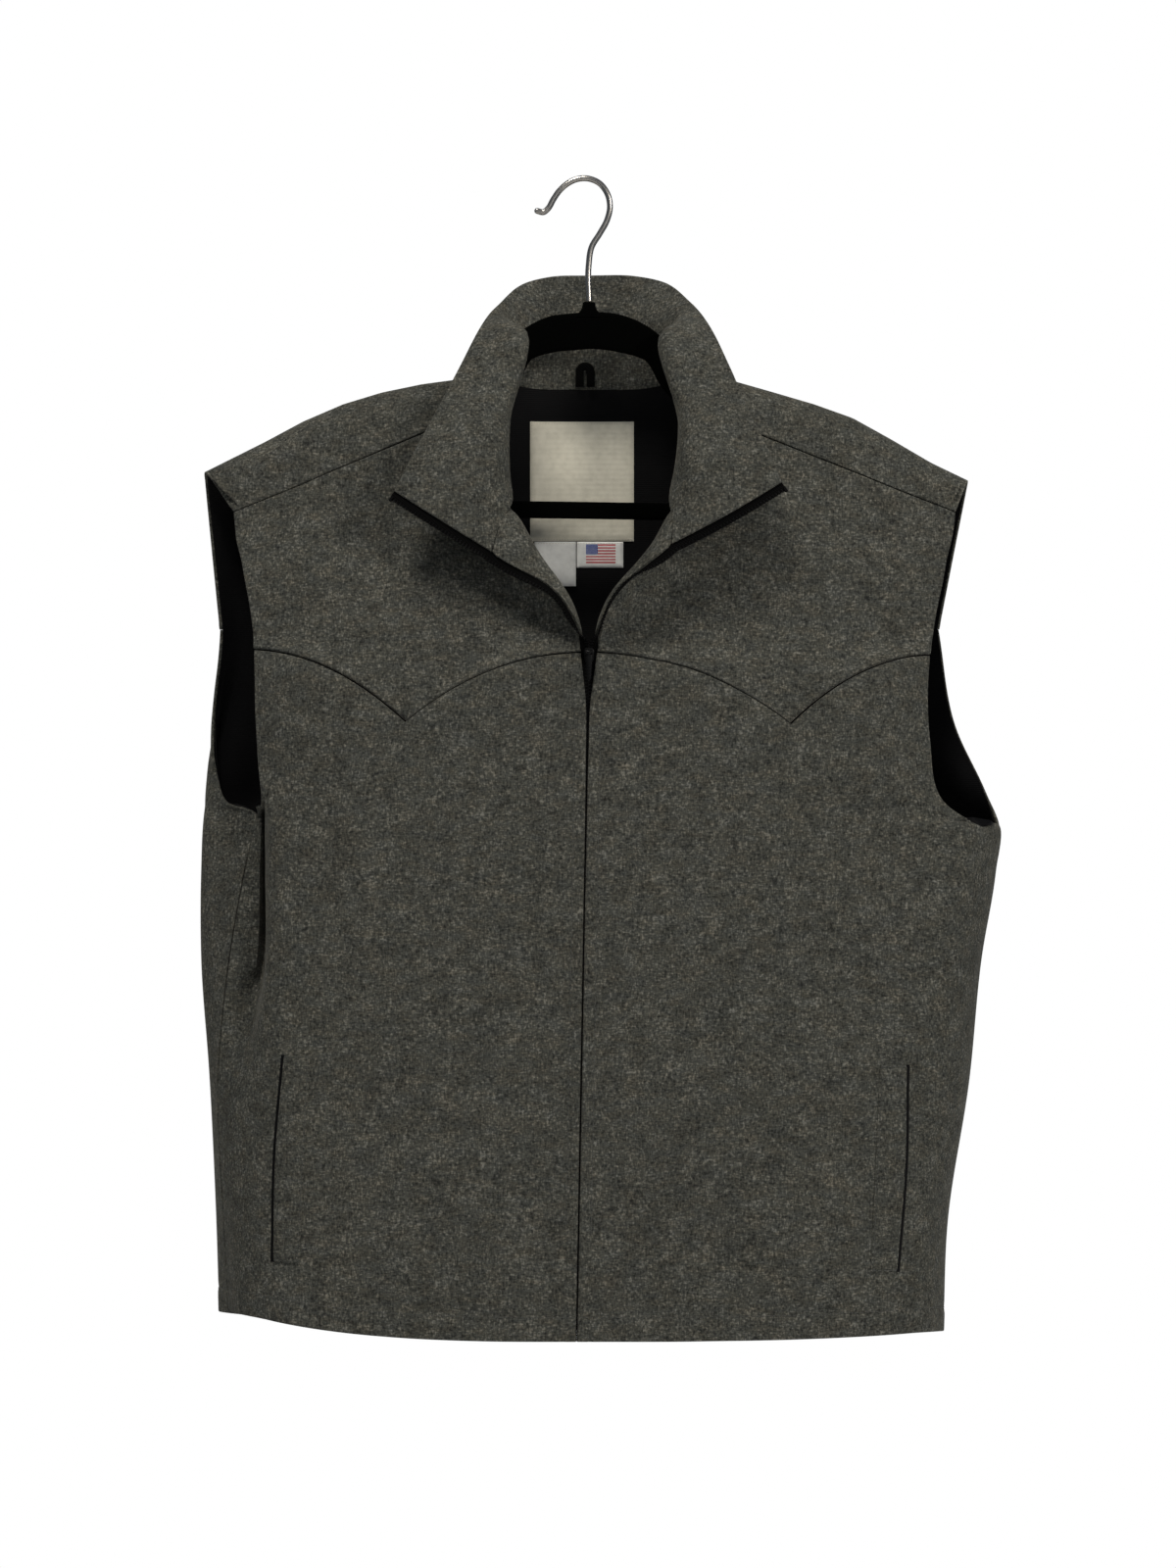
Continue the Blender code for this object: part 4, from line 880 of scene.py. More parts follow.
def turnedUp(far, name):  # a hem or an edge turned in and sewn down: its thickness, and the dent of its stitches
    high = sewing[name + "Thick"] * np.clip((sewing[name + "At"] - far) / sewing[name + "Fade"], 0, 1)
    return high, groove(far, sewing[name + "At"], *sewing["dent"])


def lowerRelief(far):
    (hem, hemDent), (edge, edgeDent) = turnedUp(far["bottom"], "hem"), turnedUp(far["start"], "zip")
    underYoke = groove(far["top"], 0, *sewing["underYoke"])  # the yoke laps over this edge
    return np.maximum(hem, edge) + hemDent + edgeDent + underYoke


def backRelief(far):
    return sum(turnedUp(far["bottom"], "hem"))


def yokeRelief(far):
    return -sum(groove(far[border], *swell) for border, swell in frontYoke["swell"].items())


def woolPiece(name, node, grid, normals, settings, relief):  # returns its outer face and normals
    grid, normals = gradedPair(grid, normals, allBorders)
    outer, inner = clothWall(grid, normals, 0, woolCloth["thickness"], settings["soft"], settings.get("turn"), relief)
    sewnPiece(name, node, outer, inner)
    return outer, normals


lowerFace = {}
for side in sides:
    grid, out = fronts[side], frontOut[side]
    low = drawIn(grid[: seamRow + 1], {"top": frontLower["ease"], "end": sideGap(grid[: seamRow + 1, -1])})
    lowerFace[side] = woolPiece(f"frontLower.{side}", f"front_lower_{side}", low,
                                out[: seamRow + 1], frontLower, lowerRelief)
    yoke, out = drawIn(grid[seamRow:], frontYoke["eases"]), out[seamRow:]
    yoke[-neckRows - 1:] = drawIn(yoke[-neckRows - 1:], {"start": frontYoke["neckEase"]})
    woolPiece(f"frontYoke.{side}", f"front_yoke_{side}", yoke, out, frontYoke, yokeRelief)

    # wool facing on the turned-out edge, running out under the collar
    part = np.s_[slice(*facingCloth["rows"]), : underColumn + 1]
    facing, facingOut = gradedPair(yoke[part], out[part], ("start", "top"))
    rise = facingCloth["rise"] * np.clip(1 - distances(facing)["top"] / facingCloth["riseOver"], 0, 1)
    outer, inner = clothWall(facing, facingOut, facingCloth["depth"] - rise, facingCloth["thickness"], None,
                             facingCloth["turn"])
    sewnPiece(f"facing.{side}", f"facing_{side}", outer, inner)

# Back

backLower = {"ease": 0.15, "soft": {"bottom": 1.1, "top": 0.75, "start": 1.3, "end": 1.3}, "turn": {"bottom": 0.9},
             "flat": (604, 514, 0.287)}
backYoke = {"eases": {"bottom": 0.15, "top": -0.3}, "soft": {"bottom": 0.75, "top": 0.75, "start": 1.1, "end": 1.1},
            "turn": {"start": 0.8, "end": 0.8}, "flat": (560, 232, 0.112)}
seamBack = armpitRow + sum(strips["backArm"])
low = back[: seamBack + 1]
low = drawIn(low, {"top": backLower["ease"], "start": sideGap(low[:, 0]), "end": sideGap(low[:, -1])})
backFace = woolPiece("backLower", "back_lower", low, backOut[: seamBack + 1], backLower, backRelief)
up = drawIn(back[seamBack:], backYoke["eases"])
woolPiece("backYoke", "back_yoke", up, backOut[seamBack:], backYoke, yokeRelief)

# Collar: two plies of wool joined along the top edge

collarOuter = {"over": -0.9, "stitch": (7.0, 0.6, 2.4), "seamSwell": (3.0, 0.2, 2.4), "flat": (470, 96, 0.038),
               "soft": {"top": 1.9, "bottom": 0.75, "start": 1.4, "end": 1.4}}
collarInner = {"turn": {"top": 1.5, "bottom": 0.3, "start": 0.8, "end": 0.8}, "flat": (460, 96, 0.036)}


def collarRelief(far):
    return groove(far["top"], *collarOuter["stitch"]) - groove(far["bottom"], *collarOuter["seamSwell"])


sewnOn = drawIn(collar, {"bottom": collarOuter["over"]})
woolPiece("collarOuter", "collar_outer", sewnOn, collarOut, collarOuter, collarRelief)
ply = gradedPair(sewnOn, collarOut, allBorders)
outer, inner = clothWall(*ply, facingCloth["depth"], facingCloth["thickness"], None, collarInner["turn"])
sewnPiece("collarInner", "collar_inner", outer, inner)
print("wool pieces made")

# Lining: hangs a little loose inside the wool

liningCloth = {"depth": 3.2, "thickness": 1.0, "ripple": 0.9, "rippleSize": (26.0, 26.0, 150.0), "rippleFade": 22.0,
               "hemRise": 4, "sideEase": 1.5, "shoulderEase": 0.15, "neckOver": -1.0}


def rippled(grid, normals):  # slack upright ripples, always away from the wool
    far = distances(grid)
    room = np.clip(np.minimum.reduce([far[b] for b in far]) / liningCloth["rippleFade"], 0, 1)
    places = grid.reshape(-1, 3) / liningCloth["rippleSize"]
    high = np.array([0.5 + 0.5 * noise.noise(Vector(p)) for p in places]).reshape(grid.shape[:2])
    return grid - normals * (high * liningCloth["ripple"] * room)[..., None]


def thinned(grid, rowStep, columnStep):
    rows = sorted({*range(0, grid.shape[0], rowStep), grid.shape[0] - 1})
    columns = sorted({*range(0, grid.shape[1], columnStep), grid.shape[1] - 1})
    return grid[rows][:, columns]


def hangLining(name, node, grid, normals, eases, steps):
    inside, insideOut = thinned(drawIn(grid, eases), *steps), thinned(normals, *steps)
    outer, inner = clothWall(rippled(inside, insideOut), insideOut, liningCloth["depth"], liningCloth["thickness"])
    sewnPiece(name, node, outer, inner, lining, "lining")
    return inner


sideEase = liningCloth["sideEase"]
for side in sides:
    part = np.s_[liningCloth["hemRise"]:, underColumn + 1:]
    eases = {"top": liningCloth["shoulderEase"], "end": sideEase}
    hangLining(f"liningFront.{side}", f"lining_front_{side}", fronts[side][part], frontOut[side][part],
               eases, (2, 2))
part = np.s_[liningCloth["hemRise"]:]
eases = {"top": liningCloth["neckOver"], "start": sideEase, "end": sideEase}
backLining = hangLining("liningBack", "lining_back", back[part], backOut[part], eases, (2, 3))
print("lining made")

# Zip: tape along both front edges, moulded teeth, slider and pull

zipSet = {"open": 6.4, "sewnIn": 3.4, "tape": 0.65, "depth": 2.28, "pitch": 2.5, "phase": {"left": 0.25, "right": 0.75},
          "apart": 0.15, "tooth": (2.7, 0.72), "toothAt": (0.9, 0.35), "stop": (4.4, 1.25), "level": 1.4,
          "levelFrom": -330.0, "levelFade": 12.0, "levelSlant": 0.8}
toothShape = {"profile": ((-0.5, 0.45), (-0.42, 0.95), (-0.1, 0.8), (0.2, 0.8), (0.42, 1.05), (0.5, 0.55)), "squash": 1.15}
stopShape = {"profile": ((-0.5, 0.6), (-0.42, 1.0), (0.0, 1.0), (0.42, 1.0), (0.5, 0.6)), "squash": 1.1}


def zipLine(side):  # edge points, the way beyond the edge, and the outward normal, from the hem to the collar's tip
    below = fronts[side].shape[0] - neckRows
    grid, out = fronts[side], frontOut[side]
    own = halves[side]
    ownOut = collarOut if side == "left" else collarOut[:, ::-1]
    ownOut = ownOut[:, -own.shape[1]:]
    edge = np.concatenate([grid[:below, 0], own[1:, -1]])
    beyond = np.concatenate([grid[:below, 0] - grid[:below, 2], own[1:, -1] - own[1:, -2]])
    deep = np.concatenate([out[:below, 0], ownOut[1:, -1]])
    along = unit(np.gradient(edge, axis=0))
    beyond = unit(beyond - along * (beyond * along).sum(axis=-1, keepdims=True))  # square to the edge
    level = unit(np.cross(along, (0, sides[side], 0)))  # square to the edge, as the viewer sees it
    flat = np.clip((edge[:, 2] - zipSet["levelFrom"]) / zipSet["levelFade"], 0, 1)
    flat = flat * np.clip(1 - np.abs(deep[:, 1]) / zipSet["levelSlant"], 0, 1)
    return edge, unit(beyond + level * (zipSet["level"] * flat)[:, None]), deep


teeth = []
for side in sides:
    edge, beyond, deep = zipLine(side)
    reach = np.abs(edge[:, 0] - lean(edge[:, 2])) - (zipSet["depth"] + zipSet["tape"]) * np.abs(deep[:, 0])
    width = np.minimum(reach - zipSet["apart"], zipSet["open"])[:, None]
    sunk = edge - deep * zipSet["depth"]
    strip = np.stack([sunk + beyond * mix(-zipSet["sewnIn"], width, s) for s in np.linspace(0, 1, 9)], axis=1)
    tape = wall(strip, strip - deep[:, None] * zipSet["tape"])
    addPiece(f"zipTape.{side}", *tape, tapeTwill, "zip_tape", [f"zip_tape_{side}"])
    inset, least = zipSet["toothAt"]
    middle = sunk + beyond * np.maximum(width - inset, least) - deep * zipSet["tape"] * 0.5
    centres, ways, ups = spacedOut(middle, deep, zipSet["pitch"], zipSet["phase"][side])
    sideways = unit(np.cross(ways, ups))
    teeth.append(capsules(centres, sideways, ups, *zipSet["tooth"], **toothShape))
    teeth.append(capsules(centres[-1:], sideways[-1:], ups[-1:], *zipSet["stop"], **stopShape))
addPiece("zipTeeth", *joined(teeth), acetal, "zip_metal")


def solidOf(outline, y0, y1, soften, steps=2, hole=None):  # a flat part with softened edges, as points and faces
    work = bmesh.new()
    loops = [outline] if hole is None else [outline, hole]
    rings = [[[work.verts.new((x, y, z)) for x, z in loop] for y in (y0, y1)] for loop in loops]
    for near, away in rings:
        for i in range(len(near)):
            k = (i + 1) % len(near)
            work.faces.new((near[i], near[k], away[k], away[i]))
    for layer in (0, 1):
        if hole is None:
            work.faces.new(rings[0][layer])
        else:
            big, small = rings[0][layer], rings[1][layer]
            for i in range(len(big)):
                k = (i + 1) % len(big)
                work.faces.new((big[i], big[k], small[k], small[i]))
    bmesh.ops.recalc_face_normals(work, faces=work.faces)
    if soften:
        sharp = [e for e in work.edges if e.calc_face_angle(0) > 0.5]
        bmesh.ops.bevel(work, geom=sharp, offset=soften, segments=steps, profile=0.5, affect="EDGES", clamp_overlap=True)
    work.verts.index_update()
    points = np.array([v.co for v in work.verts])
    faces = [[v.index for v in f.verts] for f in work.faces]
    work.free()
    return points, faces


def ringOf(radius, count):
    return [(radius * math.cos(a), radius * math.sin(a)) for a in circle(count)]


def boxOf(x0, x1, z, half):
    return [(x0, z - half), (x1, z - half), (x1, z + half), (x0, z + half)]


slider = {"z": -345.0, "width": 7.0, "height": 10.0, "thick": 3.0, "eye": 1.0, "eyeWall": 0.7, "pin": 0.65, "ear": 0.9,
          "earHalf": 1.7, "earFront": 1.3, "play": 0.3, "frontPlate": 1.1, "backPlate": 0.9, "overlap": 0.1,
          "axisRise": 0.35, "earSunk": 0.4, "soft": (0.35, 0.3), "back": 0.94, "bridge": (0.36, 0.62, 1.2)}
pull = {"width": 4.6, "tipWidth": 3.0, "length": 20.0, "thick": 1.2, "neck": 1.25, "shoulder": 4.0, "chamfer": (0.9, 1.6),
        "bars": 4, "firstBar": 10.0, "barPitch": 2.2, "barHalf": 0.4, "barInset": 0.55, "barHigh": 0.18,
        "barSunk": 0.1, "soft": {"eye": 0.2, "tab": 0.28, "bar": 0.12}}
halfW, halfH = slider["width"] / 2, slider["height"] / 2
plateFront = sliderFaceY - slider["thick"]
axisY = plateFront - slider["eye"] - slider["eyeWall"] - slider["play"]
axisZ = slider["z"] + halfH * slider["axisRise"]
eyeHalf, tipHalf, pullHalf = pull["width"] / 2 - slider["eyeWall"], pull["tipWidth"] / 2, pull["width"] / 2
earX = eyeHalf + slider["play"]
shield = [(0, 1), (0.62, 0.97), (1, 0.6), (0.9, -0.2), (0.7, -0.95), (0, -1)]
shield = through([(halfW * x, 0, halfH * z) for x, z in shield], [4] * 5)[:, (0, 2)].tolist()
shield += [(-x, z) for x, z in shield[-2:0:-1]]


def plate(across, tall, rise, near, away, soften):  # the shield at a share of its size
    return solidOf([(x * across, z * tall + slider["z"] + rise) for x, z in shield], near, away, soften)


frontEnd, backStart = plateFront + slider["frontPlate"], sliderFaceY - slider["backPlate"]
frontSoft, backSoft = slider["soft"]
parts = [plate(1, 1, 0, plateFront, frontEnd, frontSoft),
         plate(slider["back"], slider["back"], 0, backStart, sliderFaceY, backSoft),
         plate(*slider["bridge"], frontEnd - slider["overlap"], backStart + slider["overlap"], 0)]
for s in (1, -1):
    ear = boxOf(s * earX, s * (earX + slider["ear"]), axisZ, slider["earHalf"])
    parts.append(solidOf(ear, axisY - slider["earFront"], plateFront + slider["earSunk"], backSoft))
reachX = earX + slider["ear"] * 0.5
pin = np.array([(x, axisY + a, axisZ + b) for x in (-reachX, reachX) for a, b in ringOf(slider["pin"], 16)])
parts.append((pin, tubeFaces(2, 16)))
addPiece("zipSlider", *joined(parts), zinc, "zip_metal", ["zip_slider"], sharpAngle=0.6)

eyeRings = ringOf(slider["eye"] + slider["eyeWall"], 24), ringOf(slider["eye"], 24)
eyePoints, eyeFaces = solidOf(eyeRings[0], -eyeHalf, eyeHalf, pull["soft"]["eye"], hole=eyeRings[1])
eyePoints = np.stack([eyePoints[:, 1], axisY + eyePoints[:, 0], axisZ + eyePoints[:, 2]], axis=1)
cornerX, cornerZ = pull["chamfer"]
tab = [(eyeHalf, -pull["neck"]), (pullHalf, -pull["shoulder"]), (tipHalf, cornerZ - pull["length"]),
       (tipHalf - cornerX, -pull["length"])]
tab = [(-eyeHalf, -pull["neck"])] + tab + [(-x, z) for x, z in tab[:0:-1]]
thick = pull["thick"] / 2
tab = [(x, z + axisZ) for x, z in tab]
parts = [(eyePoints, eyeFaces), solidOf(tab, axisY - thick, axisY + thick, pull["soft"]["tab"], 3)]
for k in range(pull["bars"]):  # raised grip bars across the tab
    down = pull["firstBar"] + pull["barPitch"] * k
    taper = (pull["shoulder"], pull["length"] - cornerZ)
    barX = np.interp(down, taper, (pullHalf, tipHalf)) - pull["barInset"]
    bar = boxOf(-barX, barX, axisZ - down, pull["barHalf"])
    barY = axisY - thick
    parts.append(solidOf(bar, barY - pull["barHigh"], barY + pull["barSunk"], pull["soft"]["bar"]))
addPiece("zipPull", *joined(parts), zinc, "zip_metal", ["zip_pull"], body="pull_tab", sharpAngle=0.6)
print("zip made")

# Pocket welts: a folded strip sewn down on three sides, open at the slit

welt = {"slit": {"left": ((225.7, -636.0), (218.8, -783.3)), "right": ((216.6, -629.0), (224.3, -776.4))},
        "width": 19.0, "thick": 1.25, "lift": 0.35, "rows": 48, "columns": 12, "bow": 2.2, "bowPower": 1.5,
        "sewnFade": 5.0, "sewnLeast": 0.12, "sewnPower": 0.6, "foldEdge": 0.9, "under": 0.05,
        "sewnAt": {"end": 1.6, "top": 1.4, "bottom": 1.4}, "slitShade": (-1.2, 0.6, 2.1), "slitShadeHigh": (0.16, 0.02)}


def treeOf(grid):
    rows, columns = grid.shape[:2]
    faces = [(i * columns + j, i * columns + j + 1, (i + 1) * columns + j + 1, (i + 1) * columns + j)
             for i in range(rows - 1) for j in range(columns - 1)]
    return BVHTree.FromPolygons([Vector(p) for p in grid.reshape(-1, 3)], faces)


def lyingOn(tree, places, columns):  # a grid of points and normals on the cloth behind those places
    points, normals = [], []
    for x, z in places:
        hit, normal, _, _ = tree.ray_cast(Vector((x, -300, z)), Vector((0, 1, 0)))
        points.append(hit)
        normals.append(normal if normal.y < 0 else -normal)
    return np.array(points).reshape(-1, columns, 3), np.array(normals).reshape(-1, columns, 3)


weltLines = []
for side in sides:
    face = treeOf(lowerFace[side][0])
    (topX, topZ), (lowX, lowZ) = welt["slit"][side]
    shares = np.linspace(0, 1, welt["rows"])
    insets = np.linspace(0, welt["width"], welt["columns"])
    bow = welt["bow"] * np.sin(shares * np.pi) ** welt["bowPower"]  # the slit gapes a little at its middle
    slit = [(mix(lowX, topX, s), mix(lowZ, topZ, s), b) for s, b in zip(shares, bow)]
    places = [(sides[side] * (x - inset + b * (1 - inset / welt["width"])), z) for x, z, b in slit for inset in insets]
    points, normals = lyingOn(face, places, welt["columns"])
    far = distances(points)
    sewn = np.minimum.reduce([far[border] for border in welt["sewnAt"]])
    high = welt["lift"] + welt["thick"] * np.clip(sewn / welt["sewnFade"], welt["sewnLeast"], 1) ** welt["sewnPower"]
    outer = points + normals * (high - rounding(far["start"], welt["foldEdge"]))[..., None]
    sewnPiece(f"pocketWelt.{side}", f"pocket_welt_{side}", outer, points + normals * welt["under"])
    weltLines += [lineAt(outer, normals, border, distance) for border, distance in welt["sewnAt"].items()]
    # a thin strip of black lining laid on the cloth beside the fold: painted shade standing in for the shaded opening
    # of the slit
    lip = [(sides[side] * (x + b + step), z) for x, z, b in slit for step in welt["slitShade"]]
    points, normals = lyingOn(face, lip, len(welt["slitShade"]))
    slitShade = wall(*[points + normals * high for high in welt["slitShadeHigh"]])
    addPiece(f"pocketSlitShade.{side}", *slitShade, lining, "lining")

# Stitching

rows = [lineAt(*lowerFace[side], "bottom", sewing["hemAt"], *sewing["hemRow"]) for side in sides]
rows += [lineAt(*lowerFace[side], "start", sewing["zipAt"], *sewing["zipRow"]) for side in sides]
rows += [lineAt(*backFace, "bottom", sewing["hemAt"], *sewing["hemRow"])]
points, faces = sewLine(rows + weltLines, stitch)
addPiece("woolStitches", points, faces, greyThread, "wool")
print("stitching made:", len(faces), "faces")

# Labels and hang loop

labels = {
    "labelMain": {"box": (-43.2, 33.0, -258.2, -170.5), "node": "label_main",
                  "look": (creamLabel, "label_cream"), "sewn": ("top", "bottom", "start", "end")},
    "labelCare": {"box": (-40.0, -9.6, -291.3, -258.6), "node": "label_care",
                  "look": (whiteLabel, "label_white"), "sewn": ("top",)},
    "labelOrigin": {"box": (-8.9, 25.2, -277.5, -258.6), "node": "label_origin",
                    "look": (whiteLabel, "label_white"), "sewn": ("top",)},
}
labelCloth = {"edgeLift": 0.55, "lift": 0.9, "liftFade": 3.0, "thick": 0.5, "sewnAt": 1.3, "curl": 1.6, "curlOver": 16.0}
flag = {"box": (-2.2, 19.6, -274.3, -260.4), "stripes": 13, "canton": (0.4, 7), "starRows": 9, "starSize": (0.08, 0.24)}
flagX0, flagX1, flagZ0, flagZ1 = flag["box"]
cantonX, cantonStripes = mix(flagX0, flagX1, flag["canton"][0]), flag["canton"][1]
cantonZ = mix(flagZ1, flagZ0, cantonStripes / flag["stripes"])


def stepsThrough(stops, counts):  # coordinates with that many points from stop to stop
    return np.unique(np.concatenate([np.linspace(a, b, n) for a, b, n in zip(stops, stops[1:], counts)]).round(4))


def printFlag(piece):
    piece.data.materials.append(redInk)
    piece.data.materials.append(blueInk)
    for polygon in piece.data.polygons:
        x, y, z = np.array(polygon.center) / mm - (stemX, 0, 0)
        if polygon.normal.y > -0.3 or not (flagX0 < x < flagX1 and flagZ0 < z < flagZ1):
            continue
        stripe = int((flagZ1 - z) / (flagZ1 - flagZ0) * flag["stripes"])
        if x < cantonX and stripe < cantonStripes:
            polygon.material_index = 2
        elif stripe % 2 == 0:
            polygon.material_index = 1


labelTree = treeOf(backLining)
labelLines, labelFace = [], {}
for name, label in labels.items():
    x0, x1, z0, z1 = label["box"]
    xs, zs = np.linspace(x0, x1, 31), np.linspace(z0, z1, 31)
    if name == "labelOrigin":  # a mesh that follows the flag's stripes
        xs = stepsThrough((x0, flagX0, cantonX, flagX1, x1), (6, 9, 12, 6))
        zs = stepsThrough((z0, flagZ0, flagZ1, z1), (5, flag["stripes"] + 1, 4))
    points, normals = lyingOn(labelTree, [(x, z) for z in zs for x in xs], len(xs))
    far = distances(points)
    near = np.minimum.reduce([far[b] for b in far])
    high = labelCloth["edgeLift"] + labelCloth["lift"] * np.clip(near / labelCloth["liftFade"], 0, 1) ** 0.5
    if name == "labelCare":  # its lower end hangs free and curls forward a little
        high = high + labelCloth["curl"] * np.clip(1 - far["bottom"] / labelCloth["curlOver"], 0, 1) ** 2
    outer = points + normals * high[..., None]
    sheet = wall(outer, outer - normals * labelCloth["thick"])
    piece = addPiece(name, *sheet, *label["look"], [label["node"]])
    if name == "labelOrigin":
        printFlag(piece)
    labelFace[name] = outer
    labelLines += [lineAt(outer, normals, border, labelCloth["sewnAt"]) for border in label["sewn"]]
addPiece("labelStitches", *sewLine(labelLines, labelStitch), creamThread, "label_cream")
stars = []
for row in range(flag["starRows"]):  # rows of six and five by turns
    starZ = mix(flagZ1, cantonZ, (row + 1) / (flag["starRows"] + 1))
    stars += [(mix(flagX0, cantonX, (2 * k + 1 + row % 2) / 12), starZ) for k in range(6 - row % 2)]
centres, ups = [found[:, 0] for found in lyingOn(treeOf(labelFace["labelOrigin"]), stars, 1)]
upright = np.tile((0.0, 0.0, 1.0), (len(centres), 1))
dots = capsules(centres, ups, upright, *flag["starSize"], ((-0.5, 1.0), (0.5, 1.0)), sideCount=5)
addPiece("flagStars", *dots, whiteLabel, "label_white", smooth=False)

loop = {"x": -2.8, "width": 14.0, "height": 18.0, "band": 5.9, "thick": 1.5, "fromCollar": 7.1, "rise": 0.6,
        "edge": (0.45, 0.55), "rib": 0.09}
base = collar[0, collar.shape[1] // 2]
halfBand = loop["band"] / 2
bendRadius, straight = loop["width"] / 2 - halfBand, loop["height"] - loop["width"] / 2
centreLine = [(bendRadius, z) for z in np.linspace(0, straight, 5)[:-1]]
centreLine += [(bendRadius * math.cos(a), straight + bendRadius * math.sin(a)) for a in np.linspace(0, np.pi, 17)]
centreLine = np.array(centreLine + [(-bendRadius, z) for z in np.linspace(straight, 0, 5)[1:]])
along = unit(np.gradient(centreLine, axis=0))
outwards = np.stack([along[:, 1], -along[:, 0]], axis=1)
across = np.linspace(-1, 1, 9)
flatBand = centreLine[:, None] + outwards[:, None] * (across * halfBand)[None, :, None]
bandX, bandZ = flatBand[..., 0] + loop["x"], flatBand[..., 1] + base[2] + loop["rise"]
dome = loop["edge"][0] * np.clip((np.abs(across) - loop["edge"][1]) / (1 - loop["edge"][1]), 0, 1) ** 2
ribs = loop["rib"] * np.cos(across * np.pi * 4)
bandY = base[1] - loop["fromCollar"] - loop["thick"] + np.zeros(bandX.shape)
outer, inner = [np.stack([bandX, bandY + high, bandZ], axis=-1) for high in (dome + ribs, loop["thick"] - dome)]
addPiece("hangLoop", *wall(outer, inner), tapeTwill, "lining", ["hang_loop"])
print("labels and loop made")

# Hanger: flocked moulding with a hub, and its wire hook

hanger = {
    "line": [(0, -108, 13.5), (24, -110.5, 13.3), (47, -121.5, 10.2), (59, -147.8, 5.4), (80, -163.4, 6.0),
             (106, -161.8, 6.2), (150, -170.4, 6.0), (190, -186, 6.0), (212, -200.8, 6.0), (222, -212.5, 6.0),
             (217, -229, 6.0), (198, -238, 6.2), (100, -238.5, 6.2), (0, -238.5, 6.2)],  # x, z and half width
    "thick": 5.0, "tilt": 0.014, "softness": 4.0, "steps": 10, "around": 24,
    "hub": [(-98.5, 24.0, 1.14), (-96.6, 19.0, 1.14), (-95.2, 15.2, 1.14), (-94.0, 12.6, 1.14), (-92.0, 10.4, 1.14),
            (-89.5, 9.2, 1.14), (-88.2, 8.8, 1.14), (-87.6, 8.8 * 0.86, 0.9)],  # height, width and share of the thickness
}
halfLine = hanger["line"]
loopLine = halfLine + [(-x, z, half) for x, z, half in halfLine[-2:0:-1]]
coarse = np.array([(x, z - hanger["tilt"] * x, half) for x, z, half in loopLine], float)
wrapped = np.concatenate([coarse[-3:], coarse, coarse[:3]])  # so that the curve closes smoothly
steps, around = hanger["steps"], hanger["around"]
fine = through(wrapped, [steps] * (len(wrapped) - 1))[3 * steps: -3 * steps]
way = unit(np.roll(fine[:, :2], -1, axis=0) - np.roll(fine[:, :2], 1, axis=0))
outwards = np.stack([-way[:, 1], way[:, 0]], axis=1)


def boxy(values):  # a rounded box in place of a circle
    return np.sign(values) * np.abs(values) ** (2 / hanger["softness"])


ringU, ringY = boxy(np.cos(circle(around))), boxy(np.sin(circle(around))) * hanger["thick"] / 2
wide = outwards[:, None] * (ringU * fine[:, 2:])[..., None] + fine[:, None, :2]
tube = np.stack([wide[..., 0], np.broadcast_to(ringY, wide.shape[:2]), wide[..., 1]], axis=-1)
hub = np.array([(u * w / 2, y * share, z) for z, w, share in hanger["hub"] for u, y in zip(ringU, ringY)])
points, faces = joined([(tube.reshape(-1, 3), tubeFaces(len(fine), around, closed=True)),
                        (hub, tubeFaces(len(hanger["hub"]), around))])
addPiece("hangerBody", points, faces, flock, "hanger_flock", ["hanger_body"], sharpAngle=1.2)

hook = {"radius": 2.2, "around": 20, "line": [
    (0, -86.9), (-0.3, -62), (2, -47.5), (8, -37.6), (13, -28.4), (15.2, -18.5), (13.3, -9), (7.5, -1.4), (-1, 2), (-9, 1.4),
    (-16, -2), (-21.5, -7), (-26, -13.5), (-29.5, -19.6), (-33, -22.4), (-37.5, -21.5)]}
route = through([(x, 0, z) for x, z in hook["line"]], [8] * (len(hook["line"]) - 1))
ways = unit(np.gradient(route, axis=0))
sidewise = unit(np.cross(ways, (0.0, 1.0, 0.0)))
tip = np.linspace(0, 1, 6)[1:]  # the wire's rounded end
radii = np.concatenate([[hook["radius"]] * len(route), hook["radius"] * np.sqrt(1 - tip**2).clip(0.05)])
route = np.concatenate([route, route[-1] + ways[-1] * (tip * hook["radius"])[:, None]])
sidewise = np.concatenate([sidewise, np.tile(sidewise[-1], (len(tip), 1))])
turn = circle(hook["around"])[None, :, None]
wire = route[:, None] + radii[:, None, None] * (np.cos(turn) * (0.0, 1.0, 0.0) + np.sin(turn) * sidewise[:, None])
addPiece("hangerHook", wire.reshape(-1, 3), tubeFaces(len(route), hook["around"]), chrome, "hook_chrome", ["hanger_hook"],
         sharpAngle=1.2)
print("hanger and hook made")

# Studio: pale floor, soft light, camera

studio = {"floorZ": -1.75, "floorRadius": 3.1, "backdrop": 1.0, "room": 0.16, "roomTint": (0.86, 0.97, 1.12, 1.0),
          "backdropFrom": (0.72, 0.88), "aim": (0.0, 0.0, -0.42)}
lights = {
    "keyLight": {"place": (-0.8, -2.0, 3.3), "size": (1.0, 0.9), "power": 160.0, "tint": (1.0, 0.95, 0.87)},
    "sideLight": {"place": (4.1, -4.1, 1.5), "size": (1.2, 1.2), "power": 200.0, "tint": (1.0, 0.95, 0.88)},
    "fillLight": {"place": (0.5, -2.8, 0.0), "size": (1.6, 1.6), "power": 5.5, "tint": (1.0, 0.98, 0.95)},
}
bpy.context.scene.view_settings.view_transform = "Standard"
bpy.ops.mesh.primitive_circle_add(vertices=96, radius=studio["floorRadius"], fill_type="NGON",
                                  location=(0, 0, studio["floorZ"]))
floor = bpy.context.object
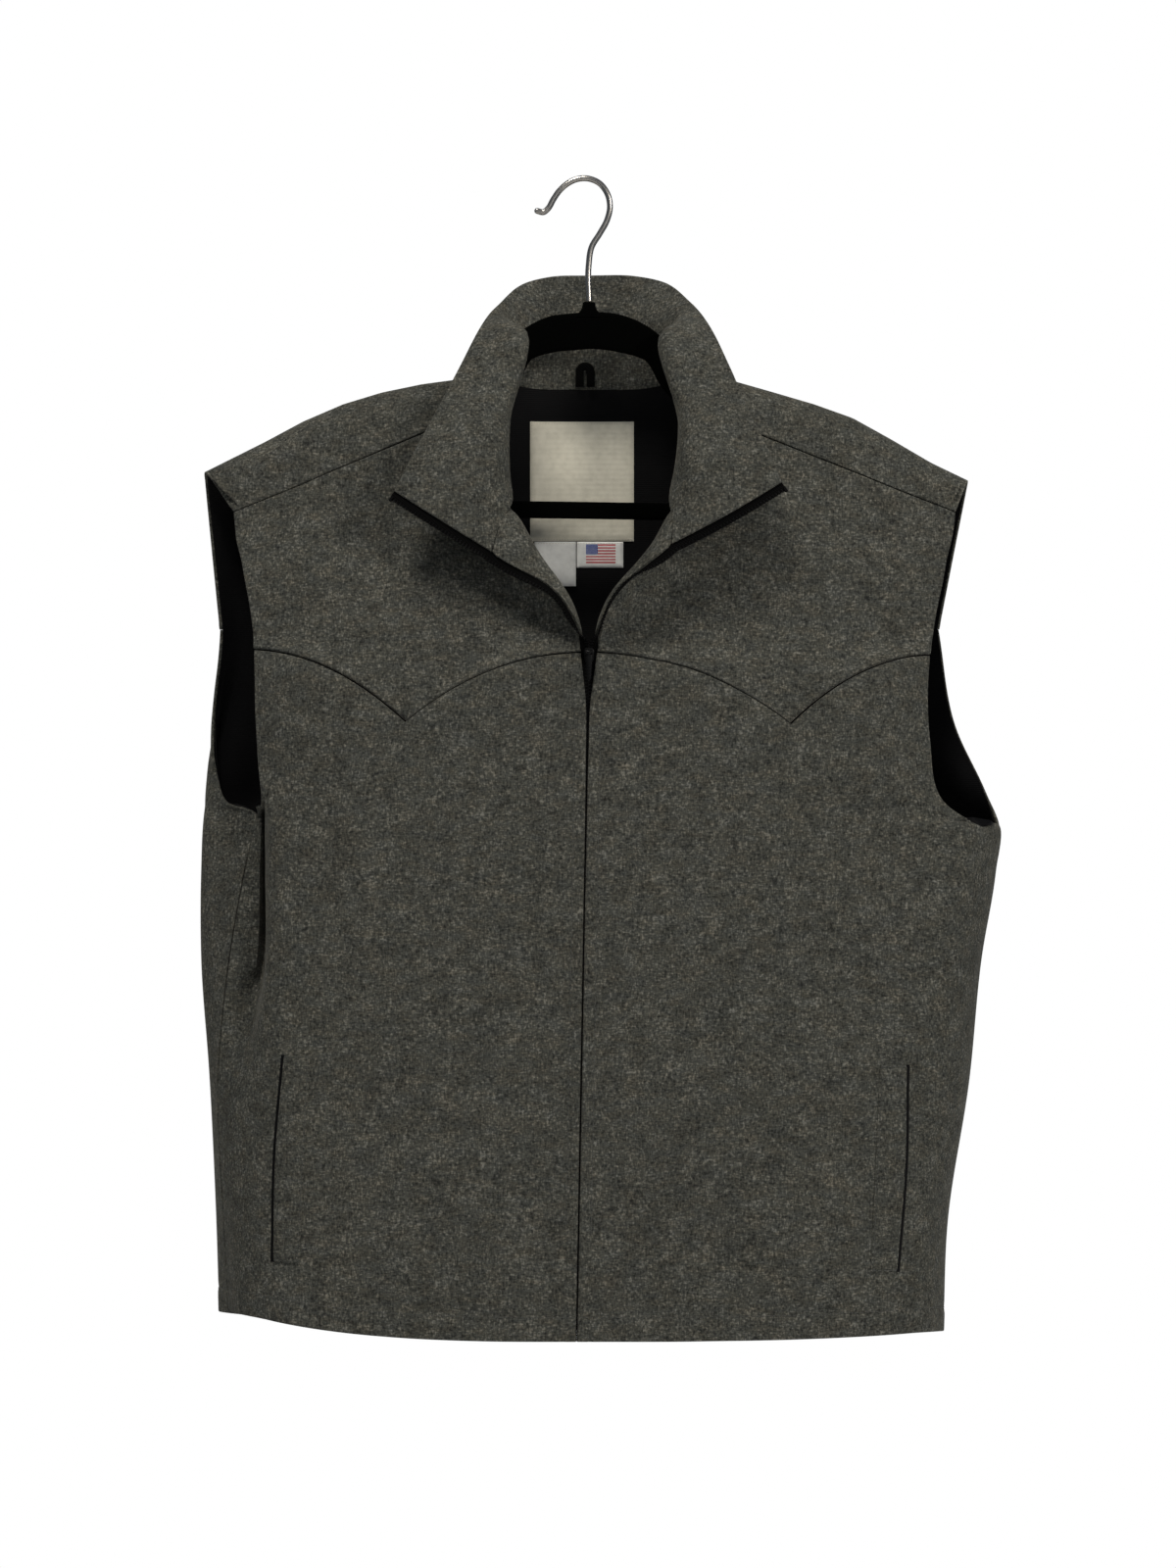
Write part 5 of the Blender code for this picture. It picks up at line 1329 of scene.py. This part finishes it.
floor.name = "floor"
floor.data.materials.append(finishOf(  # matt background paper, nearly white
    "studioPaper", {"Roughness": 0.9}, grain(1000 / 30, 3.0), [(0.3, "f3f3f2"), (0.7, "f8f8f7")]))

world = bpy.data.worlds.new("studioLight")
bpy.context.scene.world = world
world.use_nodes = True
tree = world.node_tree
direction = addNode(tree, "ShaderNodeTexCoord").outputs["Generated"]
away = addNode(tree, "ShaderNodeSeparateXYZ", links={"Vector": direction}).outputs["Y"]
low, high = studio["backdropFrom"]
behind = addNode(tree, "ShaderNodeMapRange", {"From Min": low, "From Max": high}, {"Value": away}).outputs["Result"]
power = addNode(tree, "ShaderNodeMapRange", {"To Min": studio["room"], "To Max": studio["backdrop"]},
                {"Value": behind})  # a white backdrop behind the vest, a darker cool room around it
tint = addNode(tree, "ShaderNodeMix", {"data_type": "RGBA", 6: studio["roomTint"], 7: (1.0, 1.0, 1.0, 1.0)}, {0: behind})
tree.links.new(power.outputs["Result"], tree.nodes["Background"].inputs["Strength"])
tree.links.new(tint.outputs[2], tree.nodes["Background"].inputs["Color"])

for name, light in lights.items():
    lamp = bpy.data.lights.new(name, "AREA")
    lamp.shape = "RECTANGLE"
    lamp.size, lamp.size_y = light["size"]
    lamp.energy = light["power"]
    lamp.color = light["tint"]
    stand = bpy.data.objects.new(name, lamp)
    stand.location = light["place"]
    stand.rotation_mode = "QUATERNION"
    stand.rotation_quaternion = (Vector(studio["aim"]) - Vector(light["place"])).to_track_quat("-Z", "Y")
    bpy.context.scene.collection.objects.link(stand)

camera = {"distance": 2.4, "x": 0.0043, "z": -0.43665, "frame": 1.136}
lens = bpy.data.cameras.new("camera")
lens.sensor_width = 36.0  # the long side of the frame, which stands upright
lens.lens = 36.0 * camera["distance"] / camera["frame"]
eye = bpy.data.objects.new("camera", lens)
eye.location = (camera["x"], -camera["distance"], camera["z"])
eye.rotation_euler = (math.pi / 2, 0, 0)
bpy.context.scene.collection.objects.link(eye)
bpy.context.scene.camera = eye
